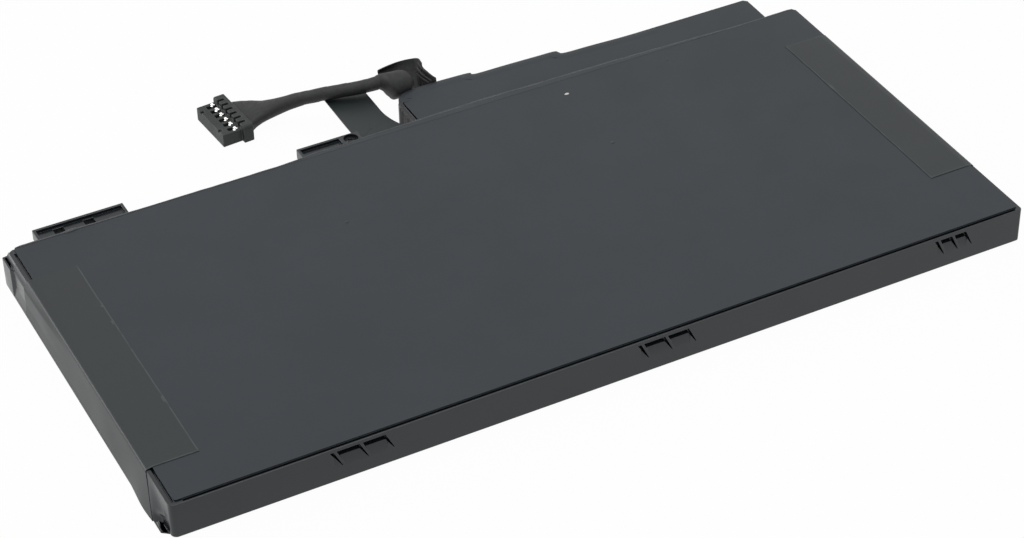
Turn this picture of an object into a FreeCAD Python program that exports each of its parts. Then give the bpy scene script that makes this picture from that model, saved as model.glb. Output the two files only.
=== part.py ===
import FreeCAD, Part
import math
import os
import re
import Sketcher
from FreeCAD import Vector

# Flat notebook battery pack: a moulded tray holds six pouch cells side by side, thin
# covers close it above and below, and a narrow bay behind it holds the circuit board.
# Body coordinates in millimetres: X runs along the front edge, Y to the rear, Z up, and
# the flange at the left end starts at X = 0. Every sub-part is then moved by the same
# two shifts, so that the origin lies under the middle of the pack.

CELL_COUNT = 6
WIRE_COUNT = 6
FLEX_TONGUES = 3
BOARD_RIBS = 4

SIZES = {
    # Slab
    "slab_length": 236.0,
    "slab_width": 109.5,
    "slab_height": 10.5,
    "corner_round": 1.6,
    "corner_round_right": 0.8,
    "foot_round": 0.5,
    "cover_film": 0.4,
    "bottom_film": 0.5,
    "seat_gap": 0.1,
    "front_wall": 2.2,
    "rear_wall": 1.8,
    "end_wall": 2.0,
    "bottom_ledge": 1.2,
    # Lips and grooves round the top cover
    "front_lip": 0.5,
    "end_lip": 1.0,
    "front_groove": 0.7,
    "end_groove": 0.6,
    "right_lip": 0.8,
    "groove_depth": 0.8,
    "groove_start": 3.7,
    "groove_end": 1.8,
    "cover_round": 0.8,
    # Flange and post at the left end
    "end_flange": 1.7,
    "flange_thick": 0.4,
    "flange_start": 3.4,
    "flange_slant": 1.3,
    "ramp_top": 9.6,
    "ramp_foot": 0.25,
    "toe_top": 1.6,
    "toe_relief": 6.5,
    "post_thick": 0.5,
    "post_length": 5.9,
    "post_web": 4.0,
    "post_gap": 1.7,
    "post_height": 8.7,
    # Clip pockets in the front wall
    "clip_top": 9.1,
    "clip_bottom": 4.4,
    "clip_step": 7.3,
    "clip_shallow": 0.5,
    "clip_depth": 1.9,
    "clip_ceiling": 1.3,
    "clip_slant": 2.2,
    "clip_rib": 0.8,
    "clip_slot": 0.9,
    "clip_slot_depth": 1.9,
    "clip_pitch": 6.7,
    "clip_pitch_right": 4.3,
    "clip_left_start": 43.2,
    "clip_middle_shift": 7.5,
    "clip_right_inset": 23.8,
    # Cells and what they lie on
    "separator": 0.8,
    "separator_height": 7.0,
    "adhesive": 0.2,
    "adhesive_margin": 5.0,
    "swell_gap": 0.5,
    "cell_gap": 0.3,
    "cell_round": 1.4,
    "seal_length": 4.5,
    "seal_thick": 0.3,
    "seal_margin": 1.5,
    "cell_tab_width": 5.0,
    "cell_tab_thick": 0.15,
    "cell_tab_spacing": 18.0,
    "cell_tab_gap": 0.6,
    "shelf_depth": 4.6,
    "flex_thick": 0.2,
    "flex_margin": 0.3,
    "insulation_thick": 0.1,
    # Board bay behind the slab
    "bay_shift": 2.0,
    "bay_inset": 9.6,
    "bay_corner_run": 6.0,
    "bay_step_one": 24.0,
    "bay_step_two": 50.2,
    "bay_step_run": 1.2,
    "bay_depth_end": 11.4,
    "bay_depth_left": 15.0,
    "bay_depth_middle": 13.7,
    "bay_depth_right": 11.2,
    "bay_chamfer": 1.0,
    "bay_root": 1.5,
    "bay_wall": 1.2,
    "bay_floor": 1.0,
    "bay_film": 0.4,
    "bay_rim": 1.3,
    "bay_film_gap": 0.3,
    "wire_notch_inset": 0.6,
    "wire_notch_floor": 4.9,
    # Board and what is soldered to it
    "board_thick": 0.8,
    "board_start": 12.0,
    "board_gap": 0.4,
    "board_rib": 1.0,
    "board_rib_first": 16.0,
    "board_rib_last": 13.4,
    "tongue_first": 34.0,
    "tongue_last": 10.4,
    "tongue_width": 10.0,
    "tongue_reach": 2.4,
    "window_gap": 0.4,
    # Ears behind the slab
    "ear_depth": 7.6,
    "ear_top": 8.5,
    "ear_floor": 6.75,
    "ear_bottom": 5.5,
    "ear_rim": 0.8,
    "ear_tray": 0.9,
    "left_ear_start": 9.0,
    "left_ear_length": 25.0,
    "ear_slot_length": 2.8,
    "ear_slot_width": 3.0,
    "ear_slot_inset": 0.4,
    "ear_slot_start": 5.2,
    "ear_slot_pitch": 8.3,
    "middle_ear_back": 32.3,
    "boss_shift": 12.1,
    "boss_length": 5.8,
    "screw_centre": 3.0,
    "screw_reach": 5.3,
    "screw_hole": 2.7,
    "screw_head": 4.0,
    "screw_sink": 1.05,
    "screw_web": 0.8,
    "strap_ledge": 5.0,
    # Pull tab
    "strap_thick": 0.35,
    "strap_shift": 4.8,
    "strap_width": 11.5,
    "strap_reach": 28.8,
    "strap_gap": 0.3,
    "strap_root_width": 13.6,
    "strap_flare": 20.0,
    "strap_flare_start": 15.0,
    "strap_corner": 1.5,
    # End tapes
    "tape_film": 0.12,
    "tape_gap": 0.02,
    "left_tape_width": 13.3,
    "left_tape_start": 14.2,
    "left_tape_inset": 14.7,
    "right_tape_width": 13.2,
    "right_tape_start": 22.0,
    "right_tape_inset": 15.8,
    "right_tape_bottom": 0.6,
    # Lead, its wrap, fan and plug
    "wire_size": 1.0,
    "wire_pitch": 1.05,
    "wire_on_board": 2.0,
    "wrap_length": 13.8,
    "wrap_reach": 17.0,
    "wrap_depth": 10.0,
    "wrap_bottom": 6.4,
    "wrap_top": 13.4,
    "wrap_round": 2.4,
    "wrap_edge": 0.7,
    "lead_size": 3.8,
    "fan_width": 14.4,
    "fan_height": 3.4,
    "fan_waist": 7.4,
    "fan_waist_height": 3.7,
    "plug_back": 45.4,
    "plug_reach": 37.2,
    "plug_turn": 4.3,
    "plug_width": 16.0,
    "plug_depth": 5.8,
    "plug_height": 4.0,
    "hood_width": 18.6,
    "hood_depth": 3.0,
    "hood_height": 5.2,
    "hood_round": 1.2,
    "contact_pitch": 2.5,
    "contact_width": 1.0,
    "contact_length": 1.6,
    "contact_thick": 0.3,
    "contact_slot": 1.5,
    "contact_slot_length": 2.8,
    "contact_slot_start": 2.4,
    "contact_slot_depth": 1.2,
    "hood_slot": 0.9,
    "hood_slot_depth": 1.8,
    "hood_slot_length": 2.0,
    "key_notch": 1.0,
    "key_notch_inset": 2.2,
    "key_notch_depth": 0.8,
}

# Points of the lead's middle line, from the wrap to the fan. X runs from the wrap's left
# face, Y from the slab's rear face and Z from the floor.
LEAD_ROUTE = [
    (0.0, 23.3, 10.4),
    (-4.4, 23.3, 10.4),
    (-9.1, 24.5, 10.2),
    (-13.8, 26.1, 9.8),
    (-18.2, 28.1, 8.9),
    (-22.5, 31.2, 7.1),
    (-26.6, 34.1, 4.9),
]

# The fan's waist, half-way between the lead's end and the plug, in the same way.
FAN_WAIST = (-31.3, 36.9, 2.7)

CENTRE_X = "(end_flange + slab_length + tape_film + tape_gap) / 2"
CENTRE_Y = "(slab_width + strap_reach) / 2"

RIM_TOP = "(slab_height - cover_film)"
BAY_TOP = "(slab_height - cover_film - bay_film)"
CELL_FLOOR = "(bottom_film + adhesive)"
CELL_THICK = "(slab_height - cover_film - bottom_film - adhesive - swell_gap)"
CELL_MIDDLE = "(%s + %s / 2)" % (CELL_FLOOR, CELL_THICK)
TAB_FLOOR = "(%s - cell_tab_thick / 2)" % CELL_MIDDLE
SHELF_TOP = "(%s - flex_thick)" % TAB_FLOOR
SHELF_FRONT = "(slab_width - rear_wall - shelf_depth)"
SEAL_END = "(%s - cell_gap)" % SHELF_FRONT
CELL_START = "(front_wall + cell_gap)"
CELL_END = "(%s - seal_length)" % SEAL_END
PITCH = "((slab_length - 2 * end_wall + separator) / %d)" % CELL_COUNT
CELL_WIDTH = "(%s - separator - 2 * cell_gap)" % PITCH
TAB_END = "(slab_width - rear_wall - cell_tab_gap)"

# Places along the slab's rear edge, from its left face.
BAY_LEFT = "(slab_length / 2 - bay_shift)"
BAY_RIGHT = "(slab_length - bay_inset)"
BAY_CORNER = "(%s + bay_corner_run)" % BAY_LEFT
BAY_STEP_ONE = "(%s + bay_step_one)" % BAY_LEFT
BAY_STEP_TWO = "(%s + bay_step_two)" % BAY_LEFT
WIRE_NOTCH = "(%s + wire_notch_inset)" % BAY_CORNER
RIB_START = "(%s + board_rib_first)" % BAY_LEFT
RIB_PITCH = "((%s - board_rib_last - %s) / %d)" % (BAY_RIGHT, RIB_START, BOARD_RIBS - 1)
TONGUE_START = "(%s + tongue_first)" % BAY_LEFT
TONGUE_PITCH = "((%s - tongue_last - tongue_width - %s) / %d)" % (
    BAY_RIGHT, TONGUE_START, FLEX_TONGUES - 1)
MIDDLE_EAR = "(%s - middle_ear_back)" % BAY_LEFT
BOSS = "(%s + boss_shift)" % MIDDLE_EAR
STRAP_LEFT = "(%s + strap_shift)" % BOSS
CLIP_STARTS = {
    "left": "clip_left_start",
    "middle": "(slab_length / 2 + clip_middle_shift)",
    "right": "(slab_length - clip_right_inset)",
}

doc = FreeCAD.newDocument("battery_pack")
sheet = doc.addObject("Spreadsheet::Sheet", "Sizes")
for row, (alias, value) in enumerate(SIZES.items(), start=1):
    sheet.set("A%d" % row, alias)
    sheet.set("B%d" % row, str(value))
    sheet.setAlias("B%d" % row, alias)
doc.recompute()

parts = []
cuts = []


def bind(text):
    """Point each size named in an expression at its cell of the sheet."""
    return re.sub(r"\b[a-z][a-z_]+\b(?!\()", lambda word: "Sizes." + word.group(), text)


def size(alias):
    """Read one size from the sheet as a plain number."""
    return float(sheet.get(alias))


def at_left(text):
    """Turn a distance from the slab's left face into a body coordinate."""
    return "end_flange + (%s)" % text


def move_to_origin(item, x="0", y="0", z="0"):
    """Place an object in the shared frame, whose origin lies under the pack's middle."""
    item.setExpression(".Placement.Base.x", bind("(%s) - %s" % (x, CENTRE_X)))
    item.setExpression(".Placement.Base.y", bind("(%s) - %s" % (y, CENTRE_Y)))
    item.setExpression(".Placement.Base.z", bind(z))


def new_body(label):
    """Start a sub-part that is built up from sketches."""
    body = doc.addObject("PartDesign::Body", label)
    move_to_origin(body)
    parts.append(body)
    return body


def sketch_on(body, name, role, level):
    """Attach an empty sketch to one of the body's own origin planes, at a level."""
    sketch = body.newObject("Sketcher::SketchObject", name)
    plane = [item for item in body.Origin.OriginFeatures if item.Role == role][0]
    sketch.AttachmentSupport = [(plane, "")]
    sketch.MapMode = "FlatFace"
    sketch.setExpression(".AttachmentOffset.Base.z", bind(level))
    return sketch


def fix_point(sketch, geometry, place, x, y):
    """Hold one point of a sketch at two distances from the sketch's origin."""
    for kind, text in (("DistanceX", x), ("DistanceY", y)):
        index = sketch.addConstraint(Sketcher.Constraint(kind, -1, 1, geometry, place, 1.0))
        sketch.setExpression("Constraints[%d]" % index, bind(text))


def outline(body, name, points, role="XY_Plane", level="0"):
    """Draw a closed outline of straight lines through points given as expressions."""
    sketch = sketch_on(body, name, role, level)
    count = len(points)
    turn = 2 * math.pi / count
    start = [Vector(math.cos(turn * step), math.sin(turn * step), 0) for step in range(count)]
    for step in range(count):
        sketch.addGeometry(Part.LineSegment(start[step], start[(step + 1) % count]))
    for step in range(count):
        follower = (step + 1) % count
        sketch.addConstraint(Sketcher.Constraint("Coincident", step, 2, follower, 1))
    for step, (x, y) in enumerate(points):
        fix_point(sketch, step, 1, x, y)
    return sketch


def rectangle(body, name, left, front, right, rear, role="XY_Plane", level="0"):
    """Draw a rectangle between two opposite corners."""
    corners = [(left, front), (right, front), (right, rear), (left, rear)]
    return outline(body, name, corners, role, level)


def disc(body, name, x, y, radius, level="0"):
    """Draw one circle on a horizontal sketch."""
    sketch = sketch_on(body, name, "XY_Plane", level)
    sketch.addGeometry(Part.Circle(Vector(0, 0, 0), Vector(0, 0, 1), 1.0))
    fix_point(sketch, 0, 3, x, y)
    index = sketch.addConstraint(Sketcher.Constraint("Radius", 0, 1.0))
    sketch.setExpression("Constraints[%d]" % index, bind(radius))
    return sketch


def pad(body, name, sketch, length, flip=False):
    """Raise a sketch into the body, along the plane's normal or against it."""
    feature = body.newObject("PartDesign::Pad", name)
    feature.Profile = sketch
    feature.Reversed = flip
    feature.setExpression("Length", bind(length))
    sketch.Visibility = False
    return feature


def pocket(body, name, sketch, depth, flip=False):
    """Sink a sketch into the body and remember the cut, so that it is tested later."""
    feature = body.newObject("PartDesign::Pocket", name)
    feature.Profile = sketch
    feature.Reversed = flip
    feature.setExpression("Length", bind(depth))
    sketch.Visibility = False
    cuts.append(feature)
    return feature


def row_of(body, name, feature, pitch, count, axis="H_Axis"):
    """Repeat a feature along one axis of its sketch."""
    pattern = body.newObject("PartDesign::LinearPattern", name)
    pattern.Originals = [feature]
    pattern.Direction = (feature.Profile[0], [axis])
    pattern.setExpression("Length", bind("(%s) * %d" % (pitch, count - 1)))
    pattern.Occurrences = count
    body.Tip = pattern
    return pattern


def round_edges(body, name, base, chosen, radius):
    """Round the edges of a feature that a test picks."""
    doc.recompute()
    names = ["Edge%d" % number for number, edge in enumerate(base.Shape.Edges, start=1)
             if chosen(edge)]
    fillet = body.newObject("PartDesign::Fillet", name)
    fillet.Base = (base, names)
    fillet.setExpression("Radius", bind(radius))
    return fillet


def runs_along(edge, axis):
    """Tell whether an edge is straight and parallel to an axis."""
    if not isinstance(edge.Curve, Part.Line):
        return False
    return abs(edge.Curve.Direction.dot(axis)) > 0.999


def upright(edge):
    """Tell whether an edge is vertical."""
    return runs_along(edge, Vector(0, 0, 1))


def block(label, x, y, z, length, width, height):
    """Make a plain rectangular sub-part at a corner given in body coordinates."""
    item = doc.addObject("Part::Box", label)
    item.setExpression("Length", bind(length))
    item.setExpression("Width", bind(width))
    item.setExpression("Height", bind(height))
    move_to_origin(item, x, y, z)
    parts.append(item)
    return item


def bay_outline(left, right, inset, gap):
    """List the bay's outline, set in from its outer face by an inset.

    The rear edge comes back towards the slab in two small steps, and the corner beside
    the lead is cut off at a slant.
    """
    deep = "slab_width + bay_depth_left - (%s)" % inset
    middle = "slab_width + bay_depth_middle - (%s)" % inset
    shallow = "slab_width + bay_depth_right - (%s)" % inset
    end = "slab_width + bay_depth_end - (%s)" % inset
    return [
        (left, gap),
        (right, gap),
        (right, "%s - bay_chamfer" % shallow),
        ("%s - bay_chamfer" % right, shallow),
        (at_left("%s + bay_step_run - (%s)" % (BAY_STEP_TWO, inset)), shallow),
        (at_left("%s - (%s)" % (BAY_STEP_TWO, inset)), middle),
        (at_left("%s + bay_step_run - (%s)" % (BAY_STEP_ONE, inset)), middle),
        (at_left("%s - (%s)" % (BAY_STEP_ONE, inset)), deep),
        (at_left(BAY_CORNER), deep),
        (left, end),
    ]


def make_frame():
    """Mould the tray: walls, flange, bay, ears, separators, grooves and clip pockets."""
    body = new_body("frame")
    left = at_left("0")
    right = at_left("slab_length")

    slab = pad(body, "slab", rectangle(body, "slab_outline", left, "0", right, "slab_width"),
               RIM_TOP)

    def at_right(edge):
        return upright(edge) and edge.Vertexes[0].X > size("slab_length") / 2

    def at_left_end(edge):
        return upright(edge) and edge.Vertexes[0].X < size("slab_length") / 2

    left_corners = round_edges(body, "slab_corners_left", slab, at_left_end, "corner_round")
    corners = round_edges(body, "slab_corners_right", left_corners, at_right,
                          "corner_round_right")

    def at_foot(edge):
        return runs_along(edge, Vector(1, 0, 0)) and edge.BoundBox.YMax + edge.BoundBox.ZMax < 0.01

    round_edges(body, "slab_foot", corners, at_foot, "foot_round")
    frame_left_end(body)
    frame_bay(body)
    frame_ears(body)

    inner_left = at_left("end_wall")
    inner_right = at_left("slab_length - end_wall")
    inner_rear = "slab_width - rear_wall"
    well = rectangle(body, "well_outline", inner_left, "front_wall", inner_right, inner_rear,
                     level=RIM_TOP)
    pocket(body, "well", well, RIM_TOP)
    rebate = rectangle(body, "rebate_outline", at_left("bottom_ledge"), "bottom_ledge",
                       at_left("slab_length - bottom_ledge"), "slab_width - bottom_ledge")
    pocket(body, "rebate", rebate, "bottom_film", flip=True)

    shelf = rectangle(body, "shelf_outline", at_left("end_wall / 2"), SHELF_FRONT,
                      at_left("slab_length - end_wall / 2"), "slab_width - rear_wall / 2",
                      level="bottom_film")
    pad(body, "shelf", shelf, "%s - bottom_film" % SHELF_TOP)
    first = "end_wall + %s" % PITCH
    rib = rectangle(body, "separator_outline", at_left("%s - separator" % first),
                    "front_wall / 2", at_left(first), "%s + shelf_depth / 2" % SHELF_FRONT,
                    level="bottom_film")
    rib_pad = pad(body, "separator_rib", rib, "%s - bottom_film" % SHELF_TOP)
    row_of(body, "separator_row", rib_pad, PITCH, CELL_COUNT - 1)

    window = rectangle(body, "window_outline", at_left("%s - window_gap" % TONGUE_START),
                       "slab_width - rear_wall - seat_gap",
                       at_left("%s + tongue_width + window_gap" % TONGUE_START),
                       "slab_width + seat_gap", level=RIM_TOP)
    window_cut = pocket(body, "flex_window", window, "%s - %s" % (RIM_TOP, SHELF_TOP))
    row_of(body, "flex_windows", window_cut, TONGUE_PITCH, FLEX_TONGUES)

    frame_grooves(body)
    for name in ("left", "middle", "right"):
        frame_clips(body, name)
    return body


def frame_left_end(body):
    """Add the flange and the ramp along the left end and the hook at its rear corner.

    The full ramp starts under the tape; a low toe reaches from it to the flange's front.
    """
    inside = at_left("end_wall / 2")
    flange = outline(body, "flange_outline", [
        (inside, "flange_start - flange_slant"),
        (at_left("0"), "flange_start - flange_slant"),
        ("0", "flange_start"),
        ("0", "slab_width"),
        (inside, "slab_width"),
    ])
    pad(body, "flange", flange, "flange_thick")
    ramp = outline(body, "end_ramp_outline", [
        (inside, "flange_thick / 2"),
        ("ramp_foot", "flange_thick / 2"),
        ("ramp_foot", "flange_thick"),
        (at_left("0"), "ramp_top"),
        (inside, "ramp_top"),
    ], role="XZ_Plane", level="-left_tape_start")
    pad(body, "end_ramp", ramp, "slab_width - left_tape_start", flip=True)
    toe = outline(body, "ramp_toe_outline", [
        (inside, "flange_thick / 2"),
        ("ramp_foot", "flange_thick / 2"),
        ("ramp_foot", "flange_thick"),
        (at_left("0"), "toe_top"),
        (inside, "toe_top"),
    ], role="XZ_Plane", level="-flange_start")
    pad(body, "ramp_toe", toe, "left_tape_start - flange_start + post_thick", flip=True)
    relief = outline(body, "toe_relief_outline", [
        ("ramp_foot", "flange_start - seat_gap"),
        (at_left("0"), "flange_start - seat_gap"),
        (at_left("0"), "flange_start + toe_relief"),
    ], level="toe_top")
    pocket(body, "toe_relief_cut", relief, "toe_top - flange_thick")
    front = "slab_width - post_length"
    post = outline(body, "post_outline", [
        ("0", front),
        (inside, "%s - post_web" % front),
        (inside, "slab_width - post_gap"),
        (at_left("0"), "slab_width - post_gap"),
        ("post_thick", "%s + post_thick" % front),
        ("post_thick", "slab_width - post_thick"),
        (at_left("corner_round"), "slab_width - post_thick"),
        (at_left("corner_round"), "slab_width"),
        ("0", "slab_width"),
    ])
    pad(body, "corner_post", post, "post_height")


def frame_bay(body):
    """Add the board bay behind the slab, hollow it and notch it for the lead wires."""
    left = at_left(BAY_LEFT)
    right = at_left(BAY_RIGHT)
    bay = outline(body, "bay_outline", bay_outline(left, right, "0", "slab_width - rear_wall / 2"))
    bay_pad = pad(body, "bay", bay, RIM_TOP)

    def at_bay_root(edge):
        far = abs(edge.Vertexes[0].X - size("end_flange") - size("slab_length")
                  + size("bay_inset"))
        return upright(edge) and far + abs(edge.Vertexes[0].Y - size("slab_width")) < 0.02

    round_edges(body, "bay_root_round", bay_pad, at_bay_root, "bay_root")

    seat = rectangle(body, "bay_seat_outline", at_left("%s + bay_rim" % BAY_LEFT), "slab_width",
                     at_left("%s + bay_wall" % BAY_RIGHT),
                     "slab_width + bay_depth_left + bay_wall", level=RIM_TOP)
    pocket(body, "bay_seat", seat, "bay_film")

    hollow = outline(body, "bay_hollow_outline",
                     bay_outline(at_left("%s + bay_wall" % BAY_LEFT),
                                 at_left("%s - bay_wall" % BAY_RIGHT), "bay_wall",
                                 "slab_width"), level=RIM_TOP)
    pocket(body, "bay_hollow", hollow, "%s - bay_floor" % RIM_TOP)

    rib = rectangle(body, "board_rib_outline", at_left(RIB_START),
                    "slab_width - rear_wall / 2", at_left("%s + board_rib" % RIB_START),
                    "slab_width + bay_depth_right - bay_wall / 2", level="bay_floor / 2")
    rib_pad = pad(body, "board_rib", rib, "%s - board_thick - bay_floor / 2" % SHELF_TOP)
    row_of(body, "board_ribs", rib_pad, RIB_PITCH, BOARD_RIBS)

    notch_end = "%s + wire_pitch * %d + wire_size" % (WIRE_NOTCH, WIRE_COUNT)
    notch = rectangle(body, "wire_notch_outline", at_left(WIRE_NOTCH),
                      "slab_width + bay_depth_left - bay_wall - seat_gap", at_left(notch_end),
                      "slab_width + bay_depth_left + seat_gap", level=RIM_TOP)
    pocket(body, "wire_notch", notch, "%s - wire_notch_floor" % RIM_TOP)


def frame_ears(body):
    """Add the two shallow trays behind the slab, one of them with a sunk screw hole."""
    root = "slab_width - rear_wall / 2"
    rear = "slab_width + ear_depth"
    ear_height = "ear_top - ear_bottom"
    left_end = at_left("left_ear_start + left_ear_length")
    ear = rectangle(body, "left_ear_outline", at_left("left_ear_start"), root, left_end, rear,
                    level="ear_bottom")
    pad(body, "left_ear", ear, ear_height)
    tray = rectangle(body, "left_tray_outline", at_left("left_ear_start + ear_rim"),
                     "slab_width", at_left("left_ear_start + left_ear_length - ear_rim"),
                     "%s - ear_rim" % rear, level="ear_top")
    pocket(body, "left_tray", tray, "ear_tray")
    slot_start = "left_ear_start + ear_slot_start"
    slot = rectangle(body, "ear_slot_outline", at_left(slot_start),
                     "%s - ear_rim - ear_slot_inset - ear_slot_width" % rear,
                     at_left("%s + ear_slot_length" % slot_start),
                     "%s - ear_rim - ear_slot_inset" % rear, level="ear_top")
    slot_cut = pocket(body, "ear_slot", slot, ear_height)
    row_of(body, "ear_slots", slot_cut, "ear_slot_pitch", 2)

    boss_end = at_left("%s + boss_length" % BOSS)
    middle = rectangle(body, "middle_ear_outline", at_left(MIDDLE_EAR), root, boss_end, rear,
                       level="ear_bottom")
    pad(body, "middle_ear", middle, ear_height)
    tray = rectangle(body, "middle_tray_outline", at_left("%s + ear_rim" % MIDDLE_EAR),
                     "slab_width", at_left(BOSS), "%s - ear_rim" % rear, level="ear_top")
    pocket(body, "middle_tray", tray, "ear_tray")
    ledge = rectangle(body, "strap_ledge_outline", at_left("%s + boss_length / 2" % BOSS), root,
                      at_left("%s + bay_wall / 2" % BAY_LEFT), "slab_width + strap_ledge",
                      level="ear_bottom")
    pad(body, "strap_ledge_plate", ledge, "ear_floor - ear_bottom")

    hole_x = at_left("%s + screw_centre" % BOSS)
    hole_y = "slab_width + screw_reach"
    web_top = "(ear_top - screw_sink)"
    sink = disc(body, "screw_sink_circle", hole_x, hole_y, "screw_head / 2", level="ear_top")
    pocket(body, "screw_seat", sink, "screw_sink")
    relief = disc(body, "screw_relief_circle", hole_x, hole_y, "screw_head / 2",
                  level="ear_bottom")
    pocket(body, "screw_relief", relief, "%s - screw_web - ear_bottom" % web_top, flip=True)
    hole = disc(body, "screw_hole_circle", hole_x, hole_y, "screw_hole / 2", level="ear_top")
    pocket(body, "screw_bore", hole, ear_height)


def frame_grooves(body):
    """Cut the shadow grooves between the tray's lips and the top cover.

    The right end has none: the cover there reaches to a narrow lip.
    """
    front = rectangle(body, "front_groove_outline", at_left("groove_start"), "front_lip",
                      at_left("slab_length - groove_end"), "front_lip + front_groove",
                      level=RIM_TOP)
    pocket(body, "front_groove_cut", front, "groove_depth")
    near = "front_lip + front_groove"
    far = "slab_width - rear_wall"
    left = rectangle(body, "left_groove_outline", at_left("end_lip"), near,
                     at_left("end_lip + end_groove"), far, level=RIM_TOP)
    pocket(body, "left_groove_cut", left, "groove_depth")


def frame_clips(body, name):
    """Cut one group of clip pockets into the front wall.

    A shallow ramp is cut across the group, with a deep undercut along its top. Three
    slanted ribs are then set back into it, flush with the wall, and each rib gets a narrow
    deep slot on its left.
    """
    first = CLIP_STARTS[name]
    pitch = "clip_pitch_right" if name == "right" else "clip_pitch"
    rise = "(clip_step - clip_bottom)"
    start = "%s - clip_slant" % first
    width = "2 * (%s) + clip_rib / 2" % pitch
    ramp = outline(body, "clip_ramp_outline_" + name, [
        ("-seat_gap", "clip_bottom - seat_gap * %s / clip_shallow" % rise),
        ("clip_shallow", "clip_step"),
        ("clip_depth", "clip_top - clip_ceiling"),
        ("clip_depth", "clip_top"),
        ("-seat_gap", "clip_top"),
    ], role="YZ_Plane", level=at_left(start))
    pocket(body, "clip_ramp_" + name, ramp, width, flip=True)

    foot = "clip_bottom"
    rib = outline(body, "clip_rib_outline_" + name, [
        (at_left(first), foot),
        (at_left("%s + clip_rib" % first), foot),
        (at_left("%s + clip_rib - clip_slant" % first), "clip_top"),
        (at_left("%s - clip_slant" % first), "clip_top"),
    ], role="XZ_Plane")
    rib_pad = pad(body, "clip_rib_" + name, rib, "clip_depth", flip=True)
    row_of(body, "clip_ribs_" + name, rib_pad, pitch, 3)

    slot = outline(body, "clip_slot_outline_" + name, [
        (at_left("%s - seat_gap" % first), foot),
        (at_left(first), foot),
        (at_left("%s - clip_slant" % first), "clip_top"),
        (at_left("%s - clip_slant - clip_slot" % first), "clip_top"),
    ], role="XZ_Plane")
    slot_cut = pocket(body, "clip_slot_" + name, slot, "clip_slot_depth")
    row_of(body, "clip_slots_" + name, slot_cut, pitch, 3)


def make_covers():
    """Cut the top cover, the bottom cover and the plate over the board bay."""
    top = new_body("top_cover")
    sheet_outline = rectangle(top, "cover_outline", at_left("end_lip + end_groove"),
                              "front_lip + front_groove", at_left("slab_length - right_lip"),
                              "slab_width", level=RIM_TOP)
    plate = pad(top, "cover_plate", sheet_outline, "cover_film")
    round_edges(top, "cover_corners", plate, upright, "cover_round")

    bottom = new_body("bottom_cover")
    margin = "bottom_ledge + seat_gap"
    lower = rectangle(bottom, "bottom_outline", at_left(margin), margin,
                      at_left("slab_length - (%s)" % margin), "slab_width - (%s)" % margin)
    pad(bottom, "bottom_plate", lower, "bottom_film")

    bay = new_body("bay_cover")
    bay_plate = outline(bay, "bay_cover_outline",
                        bay_outline(at_left("%s + bay_rim + bay_film_gap" % BAY_LEFT),
                                    at_left(BAY_RIGHT), "0", "slab_width"), level=BAY_TOP)
    pad(bay, "bay_plate", bay_plate, "bay_film")


def make_cell(number):
    """Make one pouch cell with its flat sealed end, its glue pad and its two tabs."""
    left = at_left("end_wall + cell_gap + %s * %d" % (PITCH, number - 1))
    right = "%s + %s" % (left, CELL_WIDTH)
    cell = new_body("cell_%d" % number)
    pouch = pad(cell, "pouch", rectangle(cell, "pouch_outline", left, CELL_START, right,
                                         CELL_END, level=CELL_FLOOR), CELL_THICK)
    round_edges(cell, "pouch_round", pouch,
                lambda edge: runs_along(edge, Vector(0, 1, 0)), "cell_round")
    seal = rectangle(cell, "seal_outline", "%s + seal_margin" % left,
                     "%s - seal_margin" % CELL_END, "%s - seal_margin" % right, SEAL_END,
                     level="%s - seal_thick / 2" % CELL_MIDDLE)
    pad(cell, "seal", seal, "seal_thick")

    block("cell_adhesive_%d" % number, "%s + adhesive_margin" % left,
          "%s + adhesive_margin" % CELL_START, "bottom_film",
          "%s - 2 * adhesive_margin" % CELL_WIDTH,
          "%s - %s - 2 * adhesive_margin" % (CELL_END, CELL_START), "adhesive")

    middle = "%s + %s / 2" % (left, CELL_WIDTH)
    for name, side in (("negative", "-"), ("positive", "+")):
        block("%s_tab_%d" % (name, number),
              "%s %s cell_tab_spacing / 2 - cell_tab_width / 2" % (middle, side), SEAL_END,
              TAB_FLOOR, "cell_tab_width", "%s - %s" % (TAB_END, SEAL_END), "cell_tab_thick")


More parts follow.
